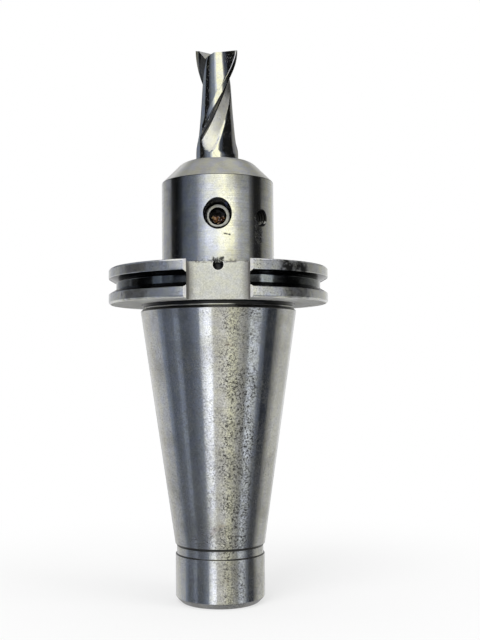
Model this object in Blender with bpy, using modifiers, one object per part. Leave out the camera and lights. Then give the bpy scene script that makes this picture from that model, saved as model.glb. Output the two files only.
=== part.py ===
"""Side lock end mill holder with its cutter: a steep-taper body, an end mill and two set screws.

The part stands on the flat end of its pilot tail, with +Z up through the cutter.
The front, which the lock screw and one drive slot face, is -Y.
All lengths are in metres.
"""

import math

import bmesh
import bpy
from mathutils import Euler, Matrix, Vector

# Fits shared by every piece
FIT_GAP = 0.0003
MERGE_DISTANCE = 0.00001
BODY_SEGMENTS = 80
SCREW_SEGMENTS = 40
ARC_STEPS = 4
OVERCUT = 0.004
SMOOTH_ANGLE = math.radians(30)

# Steep taper and pilot tail
GAUGE_DIAMETER = 0.06985
TAPER_PER_LENGTH = 7 / 24
TAPER_LENGTH = 0.1029
TAIL_LENGTH = 0.0255
TAIL_DIAMETER = 0.0396
TAIL_CHAMFER = 0.0025
TAIL_GROOVE_LENGTH = 0.0045
TAIL_GROOVE_DEPTH = 0.0006
TAIL_GROOVE_RUNOUT = 0.0003

# Flange with its gripper groove
FLANGE_DIAMETER = 0.098425
FLANGE_THICKNESS = 0.015875
FLANGE_STANDOFF = 0.003175
FLANGE_EDGE_CHAMFER = 0.0008
GRIP_GROOVE_DEPTH = 0.0034
GRIP_GROOVE_OPENING = 0.00703
GRIP_GROOVE_ANGLE = math.radians(60)
NECK_UNDERCUT = 0.0012
NECK_FILLET = 0.0012

# Drive slots, front and back
DRIVE_SLOT_WIDTH = 0.026
FRONT_SLOT_FLOOR = 0.0355
BACK_SLOT_FLOOR = 0.0377
DRIVE_SLOT_CHAMFER = 0.0012
SLOT_HOLE_DIAMETER = 0.0037
SLOT_HOLE_MOUTH = 0.0046
SLOT_HOLE_DEPTH = 0.005
SLOT_HOLE_BELOW_TOP = 0.0014

# Nose that holds the cutter
NOSE_DIAMETER = 0.0504
NOSE_HEIGHT = 0.04865
NOSE_CROWN_HEIGHT = 0.0098
NOSE_CROWN_RADIUS = 0.008
NOSE_ROOT_FILLET = 0.0008
BORE_MOUTH_CHAMFER = 0.0005

# Bore through the body
SHANK_BORE_DEPTH = 0.065
CENTRE_BORE_DIAMETER = 0.016
DRAWBAR_BORE_DIAMETER = 0.0222
DRAWBAR_BORE_DEPTH = 0.045
DRAWBAR_MOUTH_CHAMFER = 0.0016
DRILL_POINT_SLOPE = math.tan(math.radians(31))

# Lock screw
SCREW_AXIS_BELOW_NOSE = 0.0268
LOCK_SCREW_DIAMETER = 0.0109
LOCK_SCREW_LENGTH = 0.00794
LOCK_SCREW_HEAD_CHAMFER = 0.0004
LOCK_SCREW_TIP_CHAMFER = 0.00125
LOCK_KEY_ACROSS_FLATS = 0.00635
LOCK_KEY_DEPTH = 0.005
LOCK_HOLE_MOUTH = 0.0137

# Side screw
SIDE_SCREW_ANGLE = math.radians(50)
SIDE_SCREW_BELOW_NOSE = 0.0277
SIDE_SCREW_DIAMETER = 0.0061
SIDE_SCREW_LENGTH = 0.0095
SIDE_SCREW_HEAD_CHAMFER = 0.0003
SIDE_SCREW_TIP_CHAMFER = 0.0008
SIDE_KEY_ACROSS_FLATS = 0.00318
SIDE_KEY_DEPTH = 0.004
SIDE_HOLE_MOUTH = 0.0077

# End mill
SHANK_DIAMETER = 0.01905
SHANK_BELOW_FLAT = 0.0258
SHANK_END_CHAMFER = 0.0008
FLAT_DEPTH = 0.001265
FLAT_LENGTH = 0.01156
CUTTER_REACH = 0.0519
FLUTE_END_ABOVE_NOSE = 0.0022
FLUTE_LIFT_ABOVE_NOSE = 0.0223
FLUTE_COUNT = 2
HELIX_ANGLE = math.radians(30)
FLUTE_FLOOR_DISTANCE = 0.0059
FLUTE_FLOOR_ANGLE = math.radians(48)
HEEL_RADIUS = 0.0065
BACK_RADIUS = 0.0090
BACK_STRAIGHTNESS = 0.75
MARGIN_DROP = 0.00022
GRINDING_WHEEL_RADIUS = 0.041
RAKE_HOOK = math.radians(2)
END_DISH_SLOPE = math.tan(math.radians(2))
END_LAND_WIDTH = 0.0011
END_RELIEF_SLOPE = math.tan(math.radians(8))
END_CLEARANCE_SLOPE = math.tan(math.radians(25))
END_GASH_SLOPE = math.tan(math.radians(35))
RING_SPACING = 0.0015
END_RING_COUNT = 3
END_ZONE_MARGIN = 1.2

# Shares of one flute's pitch at which its rake face, floor, heel wall and back end
RAKE_END = 0.05
FLOOR_END = 0.32
HEEL_END = 0.37
BACK_END = 0.93
MARGIN_START = 0.937

# Heights that follow from the sizes above
GAUGE_Z = TAIL_LENGTH + TAPER_LENGTH
FLANGE_BOTTOM_Z = GAUGE_Z + FLANGE_STANDOFF
FLANGE_TOP_Z = FLANGE_BOTTOM_Z + FLANGE_THICKNESS
NOSE_FACE_Z = FLANGE_TOP_Z + NOSE_HEIGHT
LOCK_SCREW_Z = NOSE_FACE_Z - SCREW_AXIS_BELOW_NOSE
SIDE_SCREW_Z = NOSE_FACE_Z - SIDE_SCREW_BELOW_NOSE

# Radii that follow from the sizes above
GAUGE_RADIUS = GAUGE_DIAMETER / 2
TAPER_END_RADIUS = GAUGE_RADIUS - TAPER_LENGTH * TAPER_PER_LENGTH / 2
NOSE_RADIUS = NOSE_DIAMETER / 2
SHANK_RADIUS = SHANK_DIAMETER / 2
SHANK_BORE_RADIUS = SHANK_RADIUS + FIT_GAP
FLAT_DISTANCE = SHANK_RADIUS - FLAT_DEPTH


def clear_scene():
    """Remove every object that is already in the file."""
    for existing in list(bpy.data.objects):
        bpy.data.objects.remove(existing, do_unlink=True)


def new_collection(name):
    """Add a collection to the scene and return it."""
    collection = bpy.data.collections.new(name)
    bpy.context.scene.collection.children.link(collection)
    return collection


def steel(name, colour, roughness, metallic=1.0):
    """Return a Principled material of one colour."""
    material = bpy.data.materials.new(name)
    material.use_nodes = True
    shader = material.node_tree.nodes["Principled BSDF"]
    shader.inputs["Base Color"].default_value = (*colour, 1.0)
    shader.inputs["Roughness"].default_value = roughness
    shader.inputs["Metallic"].default_value = metallic
    return material


def arc(centre, radius, start, end, steps=ARC_STEPS):
    """Return points on a circle in the profile plane, from one angle in degrees to another."""
    points = []
    for step in range(steps + 1):
        angle = math.radians(start + (end - start) * step / steps)
        points.append((centre[0] + radius * math.cos(angle), centre[1] + radius * math.sin(angle)))
    return points


def turned(name, profile, collection, segments, closed=False):
    """Turn a profile of (radius, height) points, which runs down its outer side, about Z."""
    mesh = bpy.data.meshes.new(name)
    vertices = [(radius, 0.0, height) for radius, height in profile]
    edges = [(index, index + 1) for index in range(len(profile) - 1)]
    if closed:
        edges.append((len(profile) - 1, 0))
    mesh.from_pydata(vertices, edges, [])
    turned_object = bpy.data.objects.new(name, mesh)
    collection.objects.link(turned_object)
    screw = turned_object.modifiers.new("turn", "SCREW")
    screw.steps = segments
    screw.render_steps = segments
    screw.use_merge_vertices = True
    screw.merge_threshold = MERGE_DISTANCE
    return turned_object


def hide_cutter(cutter):
    """Show a cutting tool as wire and keep it out of the finished part."""
    cutter.hide_render = True
    cutter.display_type = "WIRE"
    return cutter


def cut(target, cutter):
    """Subtract one cutter from a piece."""
    difference = target.modifiers.new("cut_" + cutter.name, "BOOLEAN")
    difference.operation = "DIFFERENCE"
    difference.solver = "EXACT"
    difference.object = cutter


def finish(piece):
    """Apply a piece's modifiers, and shade it smooth between its real edges."""
    depsgraph = bpy.context.evaluated_depsgraph_get()
    shaped = bpy.data.meshes.new_from_object(piece.evaluated_get(depsgraph))
    piece.modifiers.clear()
    piece.data = shaped
    shaped.name = piece.name
    shaped.shade_smooth()
    shaped.set_sharp_from_angle(angle=SMOOTH_ANGLE)


def aim_outward(piece, angle, distance, height):
    """Place a piece turned about Z so that its own Z points out of the body at a side angle."""
    turn = Euler((math.radians(90), 0.0, angle))
    outward = turn.to_matrix() @ Vector((0.0, 0.0, 1.0))
    piece.rotation_euler = turn
    piece.location = outward * distance + Vector((0.0, 0.0, height))


def grip_groove_profile():
    """Return the groove's four corners, from its upper lip down to its lower lip."""
    flange_radius = FLANGE_DIAMETER / 2
    middle = FLANGE_BOTTOM_Z + FLANGE_THICKNESS / 2
    half_opening = GRIP_GROOVE_OPENING / 2
    half_floor = half_opening - GRIP_GROOVE_DEPTH * math.tan(GRIP_GROOVE_ANGLE / 2)
    floor_radius = flange_radius - GRIP_GROOVE_DEPTH
    return [
        (flange_radius, middle + half_opening),
        (floor_radius, middle + half_floor),
        (floor_radius, middle - half_floor),
        (flange_radius, middle - half_opening),
    ]


def nose_profile():
    """Return the nose's outline from its flat face down to the flange's top face."""
    crown_drop = NOSE_CROWN_RADIUS * (1 - math.cos(math.radians(45)))
    crown_run = NOSE_CROWN_RADIUS * math.sin(math.radians(45))
    cone_width = NOSE_CROWN_HEIGHT - crown_drop
    face_radius = NOSE_RADIUS - cone_width - crown_run
    crown_centre = (face_radius, NOSE_FACE_Z - NOSE_CROWN_RADIUS)
    root_centre = (NOSE_RADIUS + NOSE_ROOT_FILLET, FLANGE_TOP_Z + NOSE_ROOT_FILLET)
    profile = [(SHANK_BORE_RADIUS + BORE_MOUTH_CHAMFER, NOSE_FACE_Z)]
    profile += arc(crown_centre, NOSE_CROWN_RADIUS, 90, 45)
    profile.append((NOSE_RADIUS, NOSE_FACE_Z - NOSE_CROWN_HEIGHT))
    profile += arc(root_centre, NOSE_ROOT_FILLET, 180, 270, 2)
    return profile


def neck_profile():
    """Return the undercut between the flange and the taper, from the flange down."""
    neck_radius = GAUGE_RADIUS - NECK_UNDERCUT
    fillet_centre = (neck_radius + NECK_FILLET, FLANGE_BOTTOM_Z - NECK_FILLET)
    profile = arc(fillet_centre, NECK_FILLET, 90, 180, 3)
    profile.append((neck_radius, GAUGE_Z + NECK_UNDERCUT))
    return profile


def tail_profile():
    """Return the shallow groove and the pilot tail, from the taper's small end down."""
    tail_radius = TAIL_DIAMETER / 2
    groove_radius = tail_radius - TAIL_GROOVE_DEPTH
    groove_bottom = TAIL_LENGTH - TAIL_GROOVE_LENGTH
    return [
        (TAPER_END_RADIUS, TAIL_LENGTH),
        (groove_radius, TAIL_LENGTH - TAIL_GROOVE_RUNOUT),
        (groove_radius, groove_bottom + TAIL_GROOVE_RUNOUT),
        (tail_radius, groove_bottom),
        (tail_radius, TAIL_CHAMFER),
        (tail_radius - TAIL_CHAMFER, 0.0),
    ]


def bore_profile():
    """Return the through bore, from the tail's mouth up to the nose's mouth."""
    drawbar_radius = DRAWBAR_BORE_DIAMETER / 2
    centre_radius = CENTRE_BORE_DIAMETER / 2
    shank_bore_bottom = NOSE_FACE_Z - SHANK_BORE_DEPTH
    drawbar_cone = (drawbar_radius - centre_radius) * DRILL_POINT_SLOPE
    return [
        (drawbar_radius + DRAWBAR_MOUTH_CHAMFER, 0.0),
        (drawbar_radius, DRAWBAR_MOUTH_CHAMFER),
        (drawbar_radius, DRAWBAR_BORE_DEPTH),
        (centre_radius, DRAWBAR_BORE_DEPTH + drawbar_cone),
        (centre_radius, shank_bore_bottom),
        (SHANK_BORE_RADIUS, shank_bore_bottom),
        (SHANK_BORE_RADIUS, NOSE_FACE_Z - BORE_MOUTH_CHAMFER),
    ]


def body_profile():
    """Return the whole closed outline of the turned body."""
    flange_radius = FLANGE_DIAMETER / 2
    edge = FLANGE_EDGE_CHAMFER
    profile = nose_profile()
    profile += [(flange_radius - edge, FLANGE_TOP_Z), (flange_radius, FLANGE_TOP_Z - edge)]
    profile += grip_groove_profile()
    profile += [(flange_radius, FLANGE_BOTTOM_Z + edge), (flange_radius - edge, FLANGE_BOTTOM_Z)]
    profile += neck_profile()
    profile.append((GAUGE_RADIUS, GAUGE_Z))
    profile += tail_profile()
    profile += bore_profile()
    return profile


def slot_cutter(name, floor_distance, collection):
    """Build a flared block that cuts one drive slot, its floor facing -Y in its own frame."""
    flange_radius = FLANGE_DIAMETER / 2
    half_width = DRIVE_SLOT_WIDTH / 2
    corner = math.sqrt(flange_radius ** 2 - (half_width + DRIVE_SLOT_CHAMFER) ** 2)
    flare_start = corner - DRIVE_SLOT_CHAMFER
    reach = flange_radius + OVERCUT
    flare = reach - flare_start
    outline = [
        (-half_width, -floor_distance),
        (-half_width, -flare_start),
        (-half_width - flare, -reach),
        (half_width + flare, -reach),
        (half_width, -flare_start),
        (half_width, -floor_distance),
    ]
    bottom = GAUGE_Z - OVERCUT
    top = FLANGE_TOP_Z + OVERCUT
    mesh = bpy.data.meshes.new(name)
    shape = bmesh.new()
    face = shape.faces.new([shape.verts.new((x, y, bottom)) for x, y in outline])
    raised = bmesh.ops.extrude_face_region(shape, geom=[face])["geom"]
    raised_points = [item for item in raised if isinstance(item, bmesh.types.BMVert)]
    bmesh.ops.translate(shape, verts=raised_points, vec=(0.0, 0.0, top - bottom))
    bmesh.ops.recalc_face_normals(shape, faces=shape.faces)
    shape.to_mesh(mesh)
    shape.free()
    cutter = bpy.data.objects.new(name, mesh)
    collection.objects.link(cutter)
    return hide_cutter(cutter)


def screw_hole_cutter(name, hole_radius, mouth_diameter, collection):
    """Build a round cutter along its own Z, from the bore's middle out past a countersunk mouth."""
    mouth_radius = mouth_diameter / 2
    countersink = mouth_radius - hole_radius
    profile = [
        (0.0, NOSE_RADIUS + OVERCUT),
        (mouth_radius + OVERCUT, NOSE_RADIUS + OVERCUT),
        (hole_radius, NOSE_RADIUS - countersink),
        (hole_radius, SHANK_BORE_RADIUS / 4),
        (0.0, SHANK_BORE_RADIUS / 4),
    ]
    return hide_cutter(turned(name, profile, collection, SCREW_SEGMENTS))


def slot_hole_cutter(collection):
    """Build the drill that makes the small hole in the front slot's floor."""
    hole_radius = SLOT_HOLE_DIAMETER / 2
    mouth_radius = SLOT_HOLE_MOUTH / 2
    countersink = mouth_radius - hole_radius
    profile = [
        (0.0, OVERCUT),
        (mouth_radius, OVERCUT),
        (mouth_radius, 0.0),
        (hole_radius, -countersink),
        (hole_radius, -SLOT_HOLE_DEPTH),
        (0.0, -SLOT_HOLE_DEPTH - hole_radius * DRILL_POINT_SLOPE),
    ]
    cutter = hide_cutter(turned("slot_hole_cutter", profile, collection, 24))
    aim_outward(cutter, 0.0, FRONT_SLOT_FLOOR, FLANGE_TOP_Z - SLOT_HOLE_BELOW_TOP)
    return cutter


def make_holder_body(parts, cutters):
    """Turn the body and cut its drive slots and screw holes."""
    body = turned("holder_body", body_profile(), parts, BODY_SEGMENTS, closed=True)
    body.data.materials.append(steel("ground_steel", (0.56, 0.57, 0.58), 0.28))
    front_slot = slot_cutter("front_slot_cutter", FRONT_SLOT_FLOOR, cutters)
    back_slot = slot_cutter("back_slot_cutter", BACK_SLOT_FLOOR, cutters)
    back_slot.rotation_euler = (0.0, 0.0, math.radians(180))
    lock_hole = screw_hole_cutter(
        "lock_hole_cutter", LOCK_SCREW_DIAMETER / 2 + FIT_GAP, LOCK_HOLE_MOUTH, cutters)
    aim_outward(lock_hole, 0.0, 0.0, LOCK_SCREW_Z)
    side_hole = screw_hole_cutter(
        "side_hole_cutter", SIDE_SCREW_DIAMETER / 2 + FIT_GAP, SIDE_HOLE_MOUTH, cutters)
    aim_outward(side_hole, SIDE_SCREW_ANGLE, 0.0, SIDE_SCREW_Z)
    for cutter in (front_slot, back_slot, slot_hole_cutter(cutters), lock_hole, side_hole):
        cut(body, cutter)
    return body


def key_cutter(name, across_flats, depth, top, collection):
    """Build the six-sided cutter of a key socket, with a shallow pointed bottom."""
    corner_radius = across_flats / math.sqrt(3)
    profile = [
        (0.0, top + OVERCUT),
        (corner_radius, top + OVERCUT),
        (corner_radius, top - depth),
        (0.0, top - depth - corner_radius * DRILL_POINT_SLOPE / 2),
    ]
    return hide_cutter(turned(name, profile, collection, 6))


def make_set_screw(name, diameter, length, head_chamfer, tip_chamfer, key, parts, cutters):
    """Turn a headless set screw with its tip at its own origin, and cut its key socket."""
    radius = diameter / 2
    profile = [
        (0.0, length),
        (radius - head_chamfer, length),
        (radius, length - head_chamfer),
        (radius, tip_chamfer),
        (radius - tip_chamfer, 0.0),
        (0.0, 0.0),
    ]
    screw = turned(name, profile, parts, SCREW_SEGMENTS)
    screw.data.materials.append(steel(name + "_steel", (0.42, 0.41, 0.39), 0.42))
    across_flats, depth = key
    socket = key_cutter(name + "_socket_cutter", across_flats, depth, length, cutters)
    socket.parent = screw
    cut(screw, socket)
    return screw


def floor_radius(angle):
    """Return the radius of the flute's flat floor at an angle ahead of the cutting edge."""
    return FLUTE_FLOOR_DISTANCE / math.cos(angle - FLUTE_FLOOR_ANGLE)


def flute_point(share, height):
    """Return the radius and the angle ahead of the cutting edge of a point on a flute's section.

    The share runs from 0 at one cutting edge to 1 at the next. The height is above the
    nose's face, where the grinding wheel draws away from the core.
    """
    pitch = 2 * math.pi / FLUTE_COUNT
    angle = share * pitch
    lift = wheel_lift(angle, height)
    margin_radius = SHANK_RADIUS - MARGIN_DROP
    if share < RAKE_END:
        part_way = share / RAKE_END
        depth = SHANK_RADIUS - floor_radius(pitch * RAKE_END)
        radius = SHANK_RADIUS - depth * math.sin(part_way * math.pi / 2)
        fade = max(0.0, 1 - lift / depth)
        angle = pitch * RAKE_END * part_way ** 3 - RAKE_HOOK * fade * math.sin(part_way * math.pi)
    elif share < FLOOR_END:
        radius = floor_radius(angle)
    elif share < HEEL_END:
        part_way = (share - FLOOR_END) / (HEEL_END - FLOOR_END)
        foot_radius = floor_radius(pitch * FLOOR_END)
        radius = foot_radius + (HEEL_RADIUS - foot_radius) * part_way
    elif share < BACK_END:
        part_way = (share - HEEL_END) / (BACK_END - HEEL_END)
        rise = BACK_STRAIGHTNESS * part_way + (1 - BACK_STRAIGHTNESS) * part_way ** 3
        radius = HEEL_RADIUS + (BACK_RADIUS - HEEL_RADIUS) * rise
    elif share < MARGIN_START:
        radius = BACK_RADIUS
    else:
        part_way = (share - MARGIN_START) / (1 - MARGIN_START)
        radius = margin_radius + (SHANK_RADIUS - margin_radius) * part_way
    return min(radius + lift, SHANK_RADIUS), angle


def section_shares():
    """Return the shares of a flute's pitch at which its section has points."""
    stretches = (
        (0.0, RAKE_END, 4),
        (RAKE_END, FLOOR_END, 5),
        (FLOOR_END, HEEL_END, 2),
        (HEEL_END, BACK_END, 8),
        (BACK_END, MARGIN_START, 1),
        (MARGIN_START, 1.0, 2),
    )
    shares = []
    for start, end, steps in stretches:
        shares += [start + (end - start) * step / steps for step in range(steps)]
    return shares


def wheel_lift(angle, height):
    """Return how far the wheel has left the core, at an angle ahead of the cutting edge.

    The wheel runs along the helix, so it leaves the side of the cutting edge first.
    """
    below_start = (FLUTE_LIFT_ABOVE_NOSE - height) / math.cos(HELIX_ANGLE)
    run = below_start - SHANK_RADIUS * angle * math.sin(HELIX_ANGLE)
    return max(0.0, run) ** 2 / (2 * GRINDING_WHEEL_RADIUS)


def end_drop(radius, angle):
    """Return how far the cutter's end lies under its corners, at a point ahead of an edge."""
    along = radius * math.cos(angle)
    ahead = radius * math.sin(angle)
    land = min(ahead, END_LAND_WIDTH)
    relief = land * END_RELIEF_SLOPE + (ahead - land) * END_CLEARANCE_SLOPE
    gash = max(0.0, min(ahead, along)) * END_GASH_SLOPE
    return (SHANK_RADIUS - radius) * END_DISH_SLOPE + relief + gash


def helix_point(radius, angle, height):
    """Return a point that follows the helix, with an edge on +X at the cutter's tip."""
    lead = math.pi * SHANK_DIAMETER / math.tan(HELIX_ANGLE)
    turned_angle = angle + 2 * math.pi * (height - CUTTER_REACH) / lead
    return (radius * math.cos(turned_angle), radius * math.sin(turned_angle), height)


def fluted_rings():
    """Return the rings of the fluted length, from the run-out's end up to the tip."""
    shares = section_shares()
    deepest_drop = max(end_drop(*flute_point(share, CUTTER_REACH)) for share in shares)
    end_zone = CUTTER_REACH - deepest_drop * END_ZONE_MARGIN
    count = max(6, round((end_zone - FLUTE_END_ABOVE_NOSE) / RING_SPACING))
    rings = []
    for step in range(count + END_RING_COUNT + 1):
        ring = []
        for flute in range(FLUTE_COUNT):
            for share in shares:
                height = FLUTE_END_ABOVE_NOSE + (end_zone - FLUTE_END_ABOVE_NOSE) * step / count
                radius, angle = flute_point(share, height)
                if step > count:
                    tip = CUTTER_REACH - end_drop(radius, max(angle, 0.0))
                    height = end_zone + (tip - end_zone) * (step - count) / END_RING_COUNT
                ring.append(helix_point(radius, angle + flute * 2 * math.pi / FLUTE_COUNT, height))
        rings.append(ring)
    return rings


def plain_ring(rings, radius, height):
    """Return a round ring at a height, with its points under those of the first fluted ring."""
    ring = []
    for x, y, _ in rings[0]:
        angle = math.atan2(y, x)
        ring.append((radius * math.cos(angle), radius * math.sin(angle), height))
    return ring


def make_end_mill(parts, cutters):
    """Loft the end mill from its shank's end to its tip, and mill the flat that the screw meets."""
    shank_end = -SCREW_AXIS_BELOW_NOSE - SHANK_BELOW_FLAT
    fluted = fluted_rings()
    rings = [
        plain_ring(fluted, SHANK_RADIUS - SHANK_END_CHAMFER, shank_end),
        plain_ring(fluted, SHANK_RADIUS, shank_end + SHANK_END_CHAMFER),
    ]
    rings += fluted
    points_per_ring = len(rings[0])
    mesh = bpy.data.meshes.new("end_mill")
    shape = bmesh.new()
    loft = [[shape.verts.new(point) for point in ring] for ring in rings]
    for lower, upper in zip(loft, loft[1:]):
        for index in range(points_per_ring):
            following = (index + 1) % points_per_ring
            shape.faces.new((lower[index], lower[following], upper[following], upper[index]))
    shape.faces.new(list(reversed(loft[0])))
    tip_centre = shape.verts.new((0.0, 0.0, CUTTER_REACH - SHANK_RADIUS * END_DISH_SLOPE))
    for index in range(points_per_ring):
        following = (index + 1) % points_per_ring
        shape.faces.new((loft[-1][index], loft[-1][following], tip_centre))
    bmesh.ops.recalc_face_normals(shape, faces=shape.faces)
    bmesh.ops.triangulate(shape, faces=shape.faces)
    shape.to_mesh(mesh)
    shape.free()
    end_mill = bpy.data.objects.new("end_mill", mesh)
    parts.objects.link(end_mill)
    end_mill.location = (0.0, 0.0, NOSE_FACE_Z)
    mesh.materials.append(steel("cutter_steel", (0.62, 0.62, 0.62), 0.18))
    bpy.ops.mesh.primitive_cube_add(size=1.0)
    flat = bpy.context.object
    flat.name = "shank_flat_cutter"
    flat.data.transform(Matrix.Diagonal((SHANK_DIAMETER * 2, SHANK_RADIUS, FLAT_LENGTH, 1.0)))
    flat.location = (0.0, -FLAT_DISTANCE - SHANK_RADIUS / 2, LOCK_SCREW_Z)
    for holder in list(flat.users_collection):
        holder.objects.unlink(flat)
    cutters.objects.link(flat)
    cut(end_mill, hide_cutter(flat))
    return end_mill


def main():
    """Build the holder, its cutter and its screws."""
    clear_scene()
    parts = new_collection("side_lock_end_mill_holder")
    cutters = new_collection("cutters")
    body = make_holder_body(parts, cutters)
    end_mill = make_end_mill(parts, cutters)
    lock_screw = make_set_screw(
        "lock_screw", LOCK_SCREW_DIAMETER, LOCK_SCREW_LENGTH, LOCK_SCREW_HEAD_CHAMFER,
        LOCK_SCREW_TIP_CHAMFER, (LOCK_KEY_ACROSS_FLATS, LOCK_KEY_DEPTH), parts, cutters)
    aim_outward(lock_screw, 0.0, FLAT_DISTANCE + FIT_GAP, LOCK_SCREW_Z)
    side_screw = make_set_screw(
        "side_screw", SIDE_SCREW_DIAMETER, SIDE_SCREW_LENGTH, SIDE_SCREW_HEAD_CHAMFER,
        SIDE_SCREW_TIP_CHAMFER, (SIDE_KEY_ACROSS_FLATS, SIDE_KEY_DEPTH), parts, cutters)
    aim_outward(side_screw, SIDE_SCREW_ANGLE, SHANK_RADIUS + FIT_GAP, SIDE_SCREW_Z)
    for piece in (body, end_mill, lock_screw, side_screw):
        finish(piece)


main()
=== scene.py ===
"""Looks of a side lock end mill holder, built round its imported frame.

The holder stands on its tail with +Z up through the cutter, and its lock screw faces -Y.
All lengths are in metres.
"""

import logging
import math
import random
from collections.abc import Callable, Iterable, Iterator, Sequence
from contextlib import contextmanager
from dataclasses import dataclass
from enum import Enum

import bmesh
import bpy
from mathutils import Euler, Matrix, Vector


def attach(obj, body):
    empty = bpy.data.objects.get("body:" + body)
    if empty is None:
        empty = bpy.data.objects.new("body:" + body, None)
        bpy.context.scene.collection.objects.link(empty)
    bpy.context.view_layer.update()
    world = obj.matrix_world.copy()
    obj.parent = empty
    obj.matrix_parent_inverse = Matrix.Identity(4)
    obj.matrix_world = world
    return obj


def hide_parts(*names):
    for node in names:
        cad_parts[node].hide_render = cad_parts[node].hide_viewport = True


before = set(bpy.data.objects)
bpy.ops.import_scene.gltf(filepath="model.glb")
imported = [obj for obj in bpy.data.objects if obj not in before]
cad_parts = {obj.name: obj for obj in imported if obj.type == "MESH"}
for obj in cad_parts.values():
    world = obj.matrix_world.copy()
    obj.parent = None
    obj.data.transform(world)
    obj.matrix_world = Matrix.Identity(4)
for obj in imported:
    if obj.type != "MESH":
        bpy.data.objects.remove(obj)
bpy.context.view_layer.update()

LOG = logging.getLogger("end_mill_holder")

Point = tuple[float, float]
Colour = tuple[float, float, float]
FaceTest = Callable[[Vector, Vector], bool]

SHARP_ANGLE = math.radians(28)
MERGE_DISTANCE = 0.000002
MILLIMETRE = 0.001


# Shader expressions


def operator_pair(operation: str) -> tuple[Callable, Callable]:
    """Return the plain and the reflected operator that add one kind of Math node.

    Args:
        operation: The Math node's operation.

    Returns:
        Both methods.
    """
    def plain(first: "Signal", second: "Signal | float | Sequence[float]") -> "Signal":
        """Work the operation out in the order that it is written."""
        return first.graph.math(operation, first, second)

    def reflected(second: "Signal", first: "float | Sequence[float]") -> "Signal":
        """Work the operation out with a plain value before the signal."""
        return second.graph.math(operation, first, second)

    return plain, reflected


class Signal:
    """A shader socket on which arithmetic adds the nodes that work it out."""

    __add__, __radd__ = operator_pair("ADD")
    __sub__, __rsub__ = operator_pair("SUBTRACT")
    __mul__, __rmul__ = operator_pair("MULTIPLY")
    __pow__, __rpow__ = operator_pair("POWER")

    def __init__(self, graph: "Graph", socket: bpy.types.NodeSocket) -> None:
        """Wrap one output socket of a graph."""
        self.graph = graph
        self.socket = socket

    def __abs__(self) -> "Signal":
        """Return the size of this value without its sign."""
        return self.graph.math("ABSOLUTE", self)


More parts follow.
